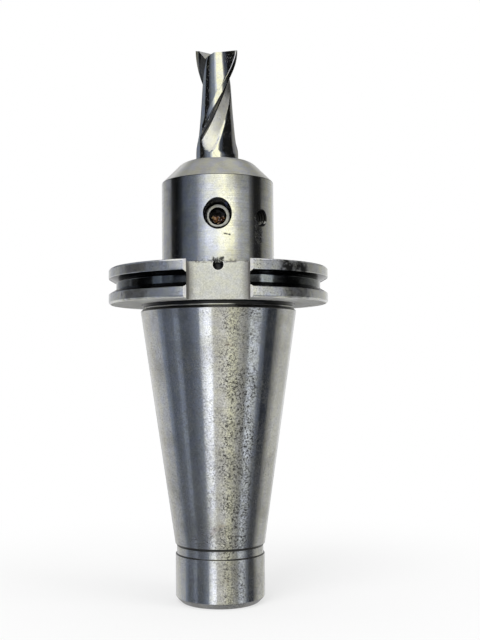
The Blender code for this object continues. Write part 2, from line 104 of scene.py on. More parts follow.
class Graph:
    """The node tree of one material, with short ways to add to it."""

    def __init__(self, name: str) -> None:
        """Start a material with its output and the object's own coordinates.

        Args:
            name: The material's name.
        """
        self.material = bpy.data.materials.new(name)
        self.material.use_nodes = True
        self.tree = self.material.node_tree
        self.tree.nodes.clear()
        self.output = self.node("ShaderNodeOutputMaterial")
        self.place = self.signal(self.node("ShaderNodeTexCoord"), "Object")
        parts = self.node("ShaderNodeSeparateXYZ", inputs={0: self.place})
        self.x, self.y, self.z = (self.signal(parts, axis) for axis in range(3))

    def node(
        self, kind: str, settings: dict | None = None, inputs: dict | None = None
    ) -> bpy.types.Node:
        """Add one node.

        Args:
            kind: The node's type.
            settings: Its properties, set first. The key "stops" gives a colour ramp's stops.
            inputs: Values or signals for its sockets, by name or number.

        Returns:
            The new node.
        """
        node = self.tree.nodes.new(kind)
        for setting, value in (settings or {}).items():
            if setting == "stops":
                for position, colour in value[2:]:
                    node.color_ramp.elements.new(position).color = (*colour, 1.0)
                for element, (position, colour) in zip(node.color_ramp.elements, sorted(value)):
                    element.position, element.color = position, (*colour, 1.0)
            else:
                setattr(node, setting, value)
        for socket, value in (inputs or {}).items():
            if isinstance(value, Signal):
                self.tree.links.new(value.socket, node.inputs[socket])
            else:
                node.inputs[socket].default_value = value
        return node

    def signal(self, node: bpy.types.Node, output: int | str = 0) -> Signal:
        """Wrap one of a node's outputs."""
        return Signal(self, node.outputs[output])

    def math(self, operation: str, *values: Signal | float | Sequence[float]) -> Signal:
        """Work out one operation, on vectors if one of the values is a vector.

        Args:
            operation: The node's operation.
            values: Its inputs in order.

        Returns:
            The result.
        """
        of_vectors = any(isinstance(v, Signal) and v.socket.type == "VECTOR" for v in values)
        kind = "ShaderNodeVectorMath" if of_vectors else "ShaderNodeMath"
        return self.signal(self.node(kind, {"operation": operation}, dict(enumerate(values))))

    def step(self, value: Signal, low: float, high: float) -> Signal:
        """Rise smoothly from 0 where a value is at low to 1 where it is at high.

        Args:
            value: What is measured.
            low: Where the rise starts.
            high: Where the rise ends.

        Returns:
            The share, from 0 to 1.
        """
        return self.signal(self.node(
            "ShaderNodeMapRange", {"interpolation_type": "SMOOTHSTEP"},
            {"Value": value, "From Min": low, "From Max": high}))

    def band(self, value: Signal, low: float, high: float, soft: float) -> Signal:
        """Return 1 between two values, with soft ends outside them."""
        rise = self.step(value, low - soft, low)
        return rise * (1.0 - self.step(value, high, high + soft))

    def noise(
        self, scale: float, detail: float = 3.0, rough: float = 0.5, bend: float = 0.0,
        place: Signal | None = None,
    ) -> Signal:
        """Return fractal noise from 0 to 1.

        Args:
            scale: How fine it is.
            detail: How many octaves it has.
            rough: How strong the finer octaves are.
            bend: How far it is distorted.
            place: Where it is read, if not at the surface's own place.

        Returns:
            The noise.
        """
        return self.signal(self.node("ShaderNodeTexNoise", {}, {
            "Vector": place or self.place, "Scale": scale, "Detail": detail,
            "Roughness": rough, "Distortion": bend}))

    def patches(
        self, scale: float, low: float, high: float, detail: float = 3.0, rough: float = 0.6,
        bend: float = 0.0,
    ) -> Signal:
        """Return patches of 1 on 0, cut out of noise between two of its levels."""
        return self.step(self.noise(scale, detail, rough, bend), low, high)

    def wander(self, scale: float, width: float) -> Signal:
        """Return a slow drift to either side of 0, to bend a straight edge with."""
        return (self.noise(scale) - 0.5) * width

    def blend(
        self, share: Signal | float, first: Signal | Colour, second: Signal | Colour,
        mode: str = "MIX",
    ) -> Signal:
        """Mix two colours.

        Args:
            share: How much of the second colour there is.
            first: The first colour.
            second: The second colour.
            mode: How they mix.

        Returns:
            The mixed colour.
        """
        colours = [c if isinstance(c, Signal) else (*c, 1.0) for c in (first, second)]
        return self.signal(self.node(
            "ShaderNodeMix", {"data_type": "RGBA", "blend_type": mode},
            {0: share, 6: colours[0], 7: colours[1]}), 2)

    def from_axis(self) -> Signal:
        """Return the distance from the holder's axis."""
        return (self.x * self.x + self.y * self.y) ** 0.5

    def around(self) -> Signal:
        """Return the angle about the axis from the front, positive towards +X."""
        return self.math("ARCTAN2", self.x, self.y * -1.0)

    def principled(
        self, colour: Signal, roughness: Signal, metallic: Signal | float = 1.0,
        height: Signal | None = None, depth: float = 0.0, **fixed: float,
    ) -> bpy.types.Material:
        """Finish the material.

        Args:
            colour: Its base colour.
            roughness: Its roughness.
            metallic: How metallic it is.
            height: A relief from 0 to 1, if it has one.
            depth: The relief's depth in metres.
            fixed: Other sockets of the shader that are the same all over.

        Returns:
            The material.
        """
        inputs = {"Base Color": colour, "Roughness": roughness, "Metallic": metallic}
        if height is not None:
            bump = self.node(
                "ShaderNodeBump", {}, {"Height": height, "Distance": depth, "Strength": 1.0})
            inputs["Normal"] = self.signal(bump)
        inputs.update(fixed)
        shader = self.node("ShaderNodeBsdfPrincipled", {}, inputs)
        self.tree.links.new(shader.outputs[0], self.output.inputs["Surface"])
        return self.material


# Sizes that more than one piece shares

GAUGE_RADIUS = 0.034925
TAIL_TOP = 0.0255
GAUGE_Z = 0.1284
FLANGE_BOTTOM = 0.131575
FLANGE_TOP = 0.14745
NOSE_FACE = 0.1961
NOSE_RADIUS = 0.0252
SHANK_RADIUS = 0.009525
FIT_GAP = 0.0003
LOCK_SCREW_Z = 0.1693
SIDE_SCREW_Z = 0.1684
SIDE_SCREW_ANGLE = math.radians(50)
FLAT_DISTANCE = SHANK_RADIUS - 0.001265
DRILL_SLOPE = math.tan(math.radians(31))
THREAD_OVERLAP = 0.0001
SCREW_PITCH = 0.00195
SIDE_SCREW_PITCH = 0.00141


# Finishes


class Lay(Enum):
    """Which way the marks of the tool run."""

    ROUND = "round the axis"
    UP = "along the axis"
    EVEN = "no direction"


LAY_STRETCH = {
    Lay.ROUND: (45.0, 45.0, 3600.0),
    Lay.UP: (5200.0, 5200.0, 70.0),
    Lay.EVEN: (2600.0, 2600.0, 2600.0),
}


@dataclass(frozen=True)
class SteelFinish:
    """Bare steel with the marks of its tool, cloudy stains, specks and scratches."""

    name: str
    colour: Colour
    roughness: float
    lay: Lay = Lay.ROUND
    line_share: float = 0.10
    line_depth: float = 0.0000012
    cloud_share: float = 0.20
    stain_colour: Colour = (0.30, 0.285, 0.25)
    speck_share: float = 0.35
    speck_colour: Colour = (0.13, 0.125, 0.115)
    rust_share: float = 0.0
    haze: float = 0.0
    tint_share: float = 0.5
    grain_share: float = 0.35
    dirt_and_shade_gloss: float = 0.20
    dirt_and_shade_dullness: float = 0.55
    rub_and_highlight_colour: Colour = (0.86, 0.85, 0.82)

    def marks(self, graph: Graph) -> Signal | None:
        """Return where this finish has dark marks of its own, stains and painted shade alike. A
        plain finish has none.
        """
        return None

    def rubs_and_highlights(self, graph: Graph) -> Signal | None:
        """Return where this finish has bright marks of its own, worn metal and painted highlights
        alike. A plain finish has none.
        """
        return None

    def material(self) -> bpy.types.Material:
        """Make the material.

        Returns:
            A steel whose colour, gloss and relief vary as the real finish does.
        """
        graph = Graph(self.name)
        lines = graph.noise(1.0, 4.0, 0.6, place=graph.place * LAY_STRETCH[self.lay])
        cloud = graph.patches(55.0, 0.42, 0.72, 5.0, 0.62, 0.6)
        veins = graph.noise(210.0, 4.0, 0.6, 1.2)
        scribbles = 1.0 - graph.step(abs(veins - 0.5), 0.0, 0.012)
        crowd = graph.patches(38.0, 0.34, 0.62, rough=0.5)
        specks = graph.patches(1300.0, 0.58, 0.68)
        cells = graph.node("ShaderNodeTexVoronoi", {}, {"Vector": graph.place, "Scale": 420.0})
        pits = 1.0 - graph.step(graph.signal(cells, "Distance"), 0.10, 0.17)
        dirt_and_shade = specks * (crowd * 0.7 + 0.3) * 0.8 + pits * crowd * 0.5 + scribbles * cloud * 0.5
        dirt_and_shade = dirt_and_shade * self.speck_share * 2.0
        # The finish's own dark marks join the specks here: stains on some finishes, painted shade
        # on others.
        own = self.marks(graph)
        if own is not None:
            dirt_and_shade = dirt_and_shade + own
        dirt_and_shade = graph.math("MINIMUM", dirt_and_shade, 0.97)
        hue_patches = graph.patches(260.0, 0.38, 0.62, detail=4.0, rough=0.65)
        hue = graph.blend(hue_patches, (0.92, 0.94, 1.08), (1.05, 1.04, 0.88))
        tone = graph.blend(cloud * self.cloud_share * 2.0, self.colour, self.stain_colour)
        tone = graph.blend((lines - 0.5) * self.line_share * 2.0 + 0.04, tone, (0.12, 0.12, 0.12))
        tone = graph.blend(self.tint_share, tone, hue, "MULTIPLY")
        grain = graph.noise(2100.0, 3.0, 0.7)
        tone = graph.blend(1.0, tone, (grain - 0.5) * self.grain_share * 2.0 + 1.0, "MULTIPLY")
        tone = graph.blend(dirt_and_shade, tone, self.speck_colour)
        if self.rust_share:
            blooms = graph.patches(120.0, 0.62, 0.72, detail=4.0)
            tone = graph.blend(blooms * self.rust_share, tone, (0.24, 0.125, 0.06))
        gloss = self.roughness + (lines - 0.5) * 0.16 + cloud * 0.06 + dirt_and_shade * self.dirt_and_shade_gloss
        metal = (1.0 - self.haze) - dirt_and_shade * self.dirt_and_shade_dullness
        # Bright marks: worn metal on some finishes, painted highlights and glints on others.
        rubbed_and_highlit = self.rubs_and_highlights(graph)
        if rubbed_and_highlit is not None:
            tone = graph.blend(rubbed_and_highlit, tone, self.rub_and_highlight_colour)
            metal = metal - rubbed_and_highlit * 0.4
        relief = lines * 0.6 - dirt_and_shade * 0.5
        return graph.principled(tone, gloss, metal, relief, self.line_depth)


@dataclass(frozen=True)
class TaperFinish(SteelFinish):
    """The ground taper and tail, with scribbly stains down the right front and thin lines of
    painted shade at its steps.
    """

    painted_shade_lines_at: tuple[tuple[float, float], ...] = (
        (0.02465, 0.02565), (0.02105, 0.02125), (0.12835, 0.1290))
    dull_below: float = 0.048

    def marks(self, graph: Graph) -> Signal:
        """Return the crowd of stains to the right of the front, a darker band low on the taper, and
        the lines of painted shade at the taper's ends and the tail's groove.

        Args:
            graph: The material's graph.

        Returns:
            The share of stains and painted shade on the surface.
        """
        strip = graph.band(graph.around(), 0.10, 0.50, 0.16)
        front = graph.band(graph.around(), -0.55, 0.75, 0.30)
        scrawl = graph.noise(620.0, 4.0, 0.7, 1.0)
        curls = 1.0 - graph.step(abs(scrawl - 0.52), 0.0, 0.030)
        spots = graph.patches(1100.0, 0.50, 0.62, rough=0.7)
        patches = graph.patches(70.0, 0.36, 0.58, rough=0.55)
        dirt_and_shade = strip * (patches * 0.7 + 0.3) * (curls * 0.70 + spots * 0.6)
        dirt_and_shade = dirt_and_shade + front * patches * (curls * 0.35 + spots * 0.25)
        dirt_and_shade = dirt_and_shade * (graph.step(graph.z, TAIL_TOP - 0.003, TAIL_TOP) * 0.5 + 0.5)
        dirt_and_shade = dirt_and_shade * (1.3 - graph.step(graph.z, 0.095, 0.118) * 0.45)
        dirt_and_shade = dirt_and_shade + graph.band(graph.z, TAIL_TOP, self.dull_below, 0.03) * 0.20
        # Thin dark lines of painted shade at the taper's top and bottom ends and at the tail
        # groove's lower edge.
        for bottom, top in self.painted_shade_lines_at:
            dirt_and_shade = dirt_and_shade + graph.band(graph.z, bottom, top, 0.00015)
        return dirt_and_shade


@dataclass(frozen=True)
class NoseFinish(SteelFinish):
    """The turned nose, with a nick in front, a grimy run under the side screw, and painted shade
    along its root.
    """

    nick_place: tuple[float, float] = (0.0039, 0.1603)
    run_angle: float = math.radians(46)
    run_top: float = 0.1672
    run_bottom: float = 0.1582

    def marks(self, graph: Graph) -> Signal:
        """Return the nick, the dark run below the side screw's hole, and the painted shade along
        the ragged root.

        Args:
            graph: The material's graph.

        Returns:
            The share of dark marks and painted shade on the surface.
        """
        across, height = self.nick_place
        slanted = graph.z + (graph.x - across) * 0.14
        wide = graph.band(graph.x, across - 0.0010, across + 0.0012, 0.0007)
        high = graph.band(slanted, height - 0.0002, height + 0.0002, 0.0003)
        front = graph.step(graph.y * -1.0, 0.020, 0.022)
        broken = graph.patches(1500.0, 0.30, 0.50)
        wander = graph.wander(160.0, 0.14)
        side = graph.band(
            graph.around() + wander, self.run_angle - 0.06, self.run_angle + 0.05, 0.06)
        fall = graph.band(graph.z, self.run_bottom, self.run_top, 0.0025)
        patchy = graph.patches(1150.0, 0.40, 0.62)
        # Painted shade along the nose's root just above the flange, darkest over the front slot.
        depth = FLANGE_TOP - graph.z - graph.wander(500.0, 0.0024)
        root = graph.step(depth, -0.0022, -0.0010)
        burr = graph.band(graph.x, -0.0018, 0.0022, 0.0008)
        burr = burr * graph.step(depth, -0.0034, -0.0022) * front
        rough_root = graph.patches(950.0, 0.38, 0.62, detail=4.0, rough=0.65)
        nick = wide * high * front * broken
        low = graph.step(graph.z * -1.0, -0.160, -0.151)
        dull = low * graph.band(graph.x, -0.006, 0.006, 0.004)
        run = side * fall * patchy * 1.3
        over_slot = graph.band(graph.x, -0.0125, 0.0125, 0.0010) * front
        root = root * rough_root * (over_slot * 0.65 + 0.15)
        return nick + run + root + burr * (rough_root + 0.35) + dull * 0.18


@dataclass(frozen=True)
class SlotFinish(SteelFinish):
    """The milled floor of a drive slot, with a burr round the small hole and a hatched scratch."""

    hole_height: float = 0.14605
    hole_radius: float = 0.0023
    scratch_place: tuple[float, float] = (-0.0092, 0.1353)

    def marks(self, graph: Graph) -> Signal:
        """Return the shadows in the slot's corners and the dark dashes on its top edge.

        Args:
            graph: The material's graph.

        Returns:
            The share of painted shadow and dark dashes on the surface.
        """
        # Painted shadow along both walls, in the slot's corners.
        left = graph.step(graph.x * -1.0, 0.0095, 0.0122) * 0.4
        left = left + graph.step(graph.x * -1.0, 0.0118, 0.0124) * 0.55
        right = graph.step(graph.x, 0.0092, 0.0122) * 0.45
        right = right + graph.step(graph.x, 0.0120, 0.0126) * 0.5
        dashes = graph.patches(600.0, 0.46, 0.54, detail=2.0)
        edge = graph.band(graph.z, FLANGE_TOP - 0.0005, FLANGE_TOP + 0.001, 0.0001) * dashes
        return left + right + edge

    def rubs_and_highlights(self, graph: Graph) -> Signal:
        """Return the bright ring round the hole, and the hatched scratch.

        Args:
            graph: The material's graph.

        Returns:
            The share of bright metal on the surface.
        """
        rise = graph.z - self.hole_height
        out = (graph.x * graph.x + rise * rise) ** 0.5
        ring = graph.band(out, self.hole_radius, self.hole_radius + 0.0002, 0.0001) * 0.6
        across, height = self.scratch_place
        patch = graph.band(graph.x, across - 0.0010, across + 0.0013, 0.0003)
        patch = patch * graph.band(graph.z, height - 0.0010, height + 0.0011, 0.0003)
        hatch = graph.math("SINE", (graph.z * 1.4 - graph.x) * 9000.0)
        return graph.math("MINIMUM", ring + patch * graph.step(hatch, 0.2, 0.8), 1.0)


@dataclass(frozen=True)
class NeckFinish(SteelFinish):
    """The undercut over the taper: painted shade in its corner and at its lip, bright between."""

    bright_from: float = 0.12945
    bright_to: float = 0.12990
    lip_top: float = 0.12915

    def marks(self, graph: Graph) -> Signal:
        """Return the painted shade in the corner and along the lip, which covers the right front.

        Args:
            graph: The material's graph.

        Returns:
            The share of painted shade on the surface.
        """
        # Painted shade over the whole undercut except the bright band, a little lighter on the lip
        # in front.
        ripple = graph.wander(90.0, 0.0004)
        unshaded = graph.band(graph.z + ripple, self.bright_from, self.bright_to, 0.0002)
        right = graph.band(graph.around(), 0.24, 0.85, 0.12)
        left = graph.band(graph.around(), -0.56, -0.44, 0.10)
        unshaded = unshaded * (0.78 - right * 0.66 - left * 0.30)
        lip = graph.band(graph.z, GAUGE_Z - 0.001, self.lip_top, 0.0002)
        return 1.0 - unshaded - lip * graph.band(graph.around(), -0.10, 0.16, 0.12) * 0.35


@dataclass(frozen=True)
class CrownFinish(SteelFinish):
    """The dull crown, with a painted highlight towards both sides."""

    highlight_angle: float = 0.68

    def marks(self, graph: Graph) -> Signal:
        """Return the darker left of the front."""
        return (1.0 - graph.step(graph.x, -0.009, 0.001)) * 0.28

    def rubs_and_highlights(self, graph: Graph) -> Signal:
        """Return the painted highlight on both sides."""
        # Painted highlight where the crown turns towards either side.
        turned = graph.around() - 0.05
        return graph.step(abs(turned), self.highlight_angle, self.highlight_angle + 0.42) * 0.7


@dataclass(frozen=True)
class LandFinish(SteelFinish):
    """The flange's lands, with a few dark blotches, each at a side angle and a height."""

    blotches: tuple[tuple[float, float, float, float], ...] = (
        (40.0, 6.0, 0.1450, 0.95), (-47.0, 7.0, 0.1342, 0.50), (42.0, 6.0, 0.1342, 0.55),
        (-49.0, 8.0, 0.1450, 0.25), (24.0, 9.0, 0.1450, 0.25))

    def marks(self, graph: Graph) -> Signal:
        """Return the blotches, ragged at their edges.

        Args:
            graph: The material's graph.

        Returns:
            The share of dark blotches on the surface.
        """
        ragged = graph.patches(330.0, 0.36, 0.56, detail=4.0, rough=0.65)
        wander = graph.wander(80.0, 0.12)
        turned = graph.around() + wander
        total = ragged * 0.0
        for angle, half_width, height, share in self.blotches:
            middle, half = math.radians(angle), math.radians(half_width)
            spot = graph.band(turned, middle - half, middle + half, 0.08)
            spot = spot * graph.band(graph.z, height - 0.0030, height + 0.0030, 0.0004)
            total = total + spot * (ragged * 0.75 + 0.25) * share
        return total * graph.step(graph.from_axis(), 0.0425, 0.0470)

    def rubs_and_highlights(self, graph: Graph) -> Signal:
        """Return the bright place beside the front slot."""
        beside = graph.band(graph.around(), -0.40, -0.31, 0.04)
        return beside * graph.band(graph.z, 0.1440, 0.1470, 0.0006) * 0.35


@dataclass(frozen=True)
class GrooveFinish(SteelFinish):
    """The gripper groove, black with old oil and with painted shade on its flanks, and wiped bare
    at a few side angles.
    """

    wiped: tuple[tuple[float, float, float], ...] = (
        (-51.0, 3.0, 0.22), (-33.0, 1.8, 0.95), (-28.0, 3.0, 0.30), (26.0, 2.2, 0.98))

    def marks(self, graph: Graph) -> Signal:
        """Return the oil, and the painted shade on the flanks.

        Args:
            graph: The material's graph.

        Returns:
            The share of oil and painted shade on the surface.
        """
        middle = (FLANGE_BOTTOM + FLANGE_TOP) / 2
        # Painted shade on both flanks of the groove.
        flank = graph.step(abs(graph.z - middle), 0.00150, 0.00170)
        flowed = graph.place * (1.0, 1.0, 2.5)
        smears = graph.step(graph.noise(95.0, 4.0, 0.6, place=flowed), 0.42, 0.56)
        turned = graph.around() + graph.wander(120.0, 0.08)
        oil = smears * 0.08 + 0.88 - graph.step(abs(turned), 0.85, 1.15) * 0.25
        for angle, half_width, share in self.wiped:
            middle_angle, half = math.radians(angle), math.radians(half_width)
            oil = oil - graph.band(turned, middle_angle - half, middle_angle + half, 0.04) * share
        return flank * 0.9 + graph.math("MAXIMUM", oil, 0.0)


@dataclass(frozen=True)
class FluteFinish(SteelFinish):
    """The ground floor of the flutes, dull and pale below and darkened with painted shade towards
    the tip.
    """

    pale_to: float = NOSE_FACE + 0.0255
    painted_shade_from: float = NOSE_FACE + 0.0345

    def marks(self, graph: Graph) -> Signal:
        """Return the painted shade on the upper part."""
        # Painted shade rising towards the tip.
        wander = graph.wander(300.0, 0.003)
        return graph.step(graph.z + wander, self.pale_to, self.painted_shade_from) * 0.97


@dataclass(frozen=True)
class HoleFinish(SteelFinish):
    """The inside of a hole, painted near-black as shade, with one painted glint on its wall."""

    glint_x: tuple[float, float] = (0.0010, 0.0040)
    glint_z: tuple[float, float] = (0.1727, 0.1742)
    glint_share: float = 0.6

    def rubs_and_highlights(self, graph: Graph) -> Signal:
        """Return the painted glint.

        Args:
            graph: The material's graph.

        Returns:
            The share of painted glint on the surface.
        """
        patchy = graph.patches(800.0, 0.42, 0.55)
        wide = graph.band(graph.x, *self.glint_x, 0.0004)
        return wide * graph.band(graph.z, *self.glint_z, 0.0003) * patchy * self.glint_share


@dataclass(frozen=True)
class DebrisFinish:
    """Rusty and pale chips, each of its own colour, with black grains between them, and painted
    shade on those above the screw's axis.
    """

    name: str

    def material(self) -> bpy.types.Material:
        """Make the material.

        Returns:
            A rough crust of brown, orange and pale grains, near-black with painted shade in its
            upper part.
        """
        graph = Graph(self.name)
        grains = graph.node("ShaderNodeTexVoronoi", {}, {"Vector": graph.place, "Scale": 1150.0})
        parts = graph.node("ShaderNodeSeparateColor", {}, {0: graph.signal(grains, "Color")})
        fine = graph.noise(2600.0, 3.0, 0.6)
        pick = graph.signal(parts) * 0.75 + fine * 0.35
        tone = graph.node("ShaderNodeValToRGB", {"stops": [
            (0.20, (0.020, 0.010, 0.008)), (0.88, (1.0, 0.90, 0.80)),
            (0.34, (0.14, 0.045, 0.03)), (0.46, (0.75, 0.33, 0.09)), (0.60, (1.0, 0.72, 0.34)),
            (0.74, (1.0, 0.70, 0.58))]}, {0: pick})
        # Painted shade: chips higher than the screw's axis turn near-black, under the hole's upper
        # wall.
        lit = graph.step(graph.z * -1.0, -LOCK_SCREW_Z - 0.0010, -LOCK_SCREW_Z + 0.0002)
        shown = graph.blend(lit, (0.012, 0.009, 0.009), graph.signal(tone))
        rough = 0.50 + fine * 0.3
        return graph.principled(shown, rough, 0.1, fine, 0.0001)


# Modelling by hand


@contextmanager
def editing(piece: bpy.types.Object) -> Iterator[None]:
    """Work on one object in edit mode, with the whole of its mesh selected.

    Args:
        piece: The object.

    Returns:
        A context that leaves edit mode at its end.
    """
    make_only(piece)
    bpy.ops.object.mode_set(mode="EDIT")
    bpy.ops.mesh.select_mode(type="VERT")
    bpy.ops.mesh.select_all(action="SELECT")
    try:
        yield
    finally:
        bpy.ops.object.mode_set(mode="OBJECT")


def make_only(piece: bpy.types.Object) -> None:
    """Make one object the only one selected, and active.

    Args:
        piece: The object.
    """
    bpy.ops.object.select_all(action="DESELECT")
    piece.select_set(True)
    bpy.context.view_layer.objects.active = piece


def begin(name: str, add: Callable[..., set[str]], **settings: object) -> bpy.types.Object:
    """Add a primitive with nothing else selected.

    Args:
        name: What it is to be called.
        add: The operator that adds it.
        settings: The operator's settings.

    Returns:
        The new object.
    """
    bpy.ops.object.select_all(action="DESELECT")
    add(**settings)
    piece = bpy.context.object
    piece.name = piece.data.name = name
    return piece


def select_faces(piece: bpy.types.Object, chosen: FaceTest) -> None:
    """Select, in edit mode, the faces whose middle and normal pass a test.

    Args:
        piece: The object, in edit mode.
        chosen: The test of a face's middle and normal.
    """
    bpy.ops.mesh.select_mode(type="FACE")
    bpy.ops.mesh.select_all(action="DESELECT")
    shape = bmesh.from_edit_mesh(piece.data)
    for face in shape.faces:
        face.select_set(chosen(face.calc_center_median(), face.normal))
    bmesh.update_edit_mesh(piece.data)


def tidy_shell(piece: bpy.types.Object) -> None:
    """Merge a shell's doubles and turn its faces outwards.

    Args:
        piece: The object.
    """
    with editing(piece):
        bpy.ops.mesh.remove_doubles(threshold=MERGE_DISTANCE)
        bpy.ops.mesh.normals_make_consistent(inside=False)


def clear_slivers(piece: bpy.types.Object) -> None:
    """Take out the faces without area that cutting leaves behind.

    Args:
        piece: The object.
    """
    with editing(piece):
        bpy.ops.mesh.remove_doubles(threshold=MERGE_DISTANCE)
        bpy.ops.mesh.dissolve_degenerate(threshold=MERGE_DISTANCE)
    tidy_shell(piece)


def settle(piece: bpy.types.Object) -> None:
    """Put an object's place and turn into its mesh."""
    make_only(piece)
    bpy.ops.object.transform_apply(location=True, rotation=True, scale=True)


def apply_all(piece: bpy.types.Object) -> None:
    """Apply every modifier of an object.

    Args:
        piece: The object.
    """
    make_only(piece)
    for modifier in list(piece.modifiers):
        bpy.ops.object.modifier_apply(modifier=modifier.name)


def draw_outline(name: str, outline: Sequence[Point], closed: bool) -> bpy.types.Object:
    """Draw a chain of edges in the XZ plane by extruding one vertex from point to point.

    Args:
        name: The new object's name.
        outline: Points of radius and height.
        closed: Whether the last point joins the first.

    Returns:
        The chain of edges.
    """
    piece = begin(name, bpy.ops.mesh.primitive_plane_add, size=MILLIMETRE)
    points = [Vector((radius, 0.0, height)) for radius, height in outline]
    if closed:
        points.append(points[0])
    with editing(piece):
        bpy.ops.mesh.merge(type="CENTER")
        bpy.ops.transform.translate(value=points[0])
        for before, after in zip(points, points[1:]):
            bpy.ops.mesh.extrude_region_move(TRANSFORM_OT_translate={"value": after - before})
        bpy.ops.mesh.select_all(action="SELECT")
        bpy.ops.mesh.remove_doubles(threshold=MERGE_DISTANCE)
    return piece


def turn(
    name: str, outline: Sequence[Point], steps: int, closed: bool = False
) -> bpy.types.Object:
    """Turn an outline of (radius, height) points about Z into a closed body.

    Args:
        name: The new object's name.
        outline: Points of radius and height.
        steps: How many faces go round.
        closed: Whether the last point joins the first.

    Returns:
        The body.
    """
    piece = draw_outline(name, outline, closed)
    with editing(piece):
        bpy.ops.mesh.spin(
            steps=steps, angle=2 * math.pi, center=(0.0, 0.0, 0.0), axis=(0.0, 0.0, 1.0))
    tidy_shell(piece)
    return piece


def aim_outward(piece: bpy.types.Object, angle: float, distance: float, height: float) -> None:
    """Turn a piece so that its own Z points out of the holder at a side angle, and place it.

    Args:
        piece: The piece, built along its own Z.
        angle: The side angle in radians, 0 at the front.
        distance: How far its origin goes from the axis.
        height: How high its origin goes.
    """
    turned = Euler((math.radians(90), 0.0, angle))
    outward = turned.to_matrix() @ Vector((0.0, 0.0, 1.0))
    piece.rotation_euler = turned
    piece.location = outward * distance + Vector((0.0, 0.0, height))
    settle(piece)


def combine(
    target: bpy.types.Object, tool: bpy.types.Object, operation: str = "DIFFERENCE"
) -> None:
    """Cut, join or intersect a piece with a tool, and delete the tool.

    Args:
        target: The piece that changes.
        tool: The piece that is used up.
        operation: The boolean's operation.
    """
    boolean = target.modifiers.new("boolean", "BOOLEAN")
    boolean.operation = operation
    boolean.solver = "EXACT"
    boolean.object = tool
    apply_all(target)
    make_only(tool)
    bpy.ops.object.delete()


def shade(piece: bpy.types.Object) -> None:
    """Shade a piece smooth between its real edges, with its broad faces flat or truly round.

    Args:
        piece: The dressed piece.
    """
    make_only(piece)
    bpy.ops.object.shade_smooth_by_angle(angle=SHARP_ANGLE)
    weighing = piece.modifiers.new("weighing", "WEIGHTED_NORMAL")
    weighing.mode = "FACE_AREA"
    weighing.weight = 100
    weighing.keep_sharp = True
    apply_all(piece)


def dress(
    piece: bpy.types.Object, finish: "SteelFinish | DebrisFinish | CardGlow",
    chosen: FaceTest | None = None,
) -> None:
    """Give a piece a finish, all over or on the faces that pass a test.

    Args:
        piece: The piece or panel.
        finish: What makes the material.
        chosen: The test of a face's middle and normal. Without it all faces pass.
    """
    make_only(piece)
    bpy.ops.object.material_slot_add()
    piece.material_slots[-1].material = finish.material()
    if chosen is None:
        return
    with editing(piece):
        select_faces(piece, chosen)
        piece.active_material_index = len(piece.material_slots) - 1
        bpy.ops.object.material_slot_assign()


def arc(centre: Point, radius: float, start: float, end: float, steps: int) -> list[Point]:
    """Return points on a circle in the outline's plane, from one angle in degrees to another."""
    angles = [math.radians(start + (end - start) * step / steps) for step in range(steps + 1)]
    return [(centre[0] + radius * math.cos(a), centre[1] + radius * math.sin(a)) for a in angles]


def eased(outline: Sequence[Point], amount: float, sharpest: float) -> list[Point]:
    """Break every corner of a closed outline that bends by more than an angle.

    Args:
        outline: Points of radius and height.
        amount: How far from its corner a break starts.
        sharpest: The least bend that is broken, in radians.

    Returns:
        The outline with its corners broken.
    """
    result = []
    count = len(outline)
    for index, corner in enumerate(outline):
        here = Vector(corner)
        to_last = Vector(outline[index - 1]) - here
        to_next = Vector(outline[(index + 1) % count]) - here
        room = min(to_last.length, to_next.length)
        bend = math.pi - to_last.angle(to_next)
        if bend < sharpest or room < amount * 2.5:
            result.append(corner)
            continue
        result.append(tuple(here + to_last.normalized() * amount))
        result.append(tuple(here + to_next.normalized() * amount))
    return result


def threaded_rod(
    name: str, crest: float, root: float, pitch: float, bottom: float, top: float, steps: int
) -> bpy.types.Object:
    """Make a rod with a right-hand thread, cut square at both ends.

    Args:
        name: Its name.
        crest: The radius over the thread.
        root: The radius in the thread's groove.
        pitch: The rise of one turn.
        bottom: The height of its lower end.
        top: The height of its upper end.
        steps: How many faces one turn has.

    Returns:
        The rod, a closed body.
    """
    start = bottom - 2 * pitch
    flat = pitch / 8
    slope = (pitch - 2 * flat) / 2
    ridge = [
        (root, start),
        (root, start + flat),
        ((root + crest) / 2, start + flat + slope / 2),
        (crest, start + flat + slope),
        (crest, start + 2 * flat + slope),
        ((root + crest) / 2, start + 2 * flat + slope * 1.5),
        (root, start + pitch),
    ]
    piece = draw_outline(name, ridge, False)
    winding = piece.modifiers.new("winding", "SCREW")
    winding.steps = winding.render_steps = steps
    winding.screw_offset = pitch
    winding.iterations = math.ceil((top - bottom) / pitch) + 4
    apply_all(piece)
    with editing(piece):
        bpy.ops.mesh.remove_doubles(threshold=MERGE_DISTANCE)
        for height, upward in ((bottom, 1.0), (top, -1.0)):
            bpy.ops.mesh.select_all(action="SELECT")
            bpy.ops.mesh.bisect(
                plane_co=(0.0, 0.0, height), plane_no=(0.0, 0.0, upward),
                clear_inner=True, use_fill=True)
    tidy_shell(piece)
    return piece


class Zone(Enum):
    """The surfaces of the holder that differ in finish."""

    GROUND = "taper and tail"
    TURNED = "nose"
    CROWN = "crown of the nose"
    LAND = "flange"
    FLANK = "gripper groove"
    SLOT = "floors of the drive slots"
    SLOT_WALL = "walls of the drive slots"
    SLOT_EDGE = "broken edges of the drive slots"
    UNDERSIDE = "underside of the flange"
    NECK = "undercut"
    INSIDE = "bores and holes"
    SIDE_HOLE = "hole of the side screw"


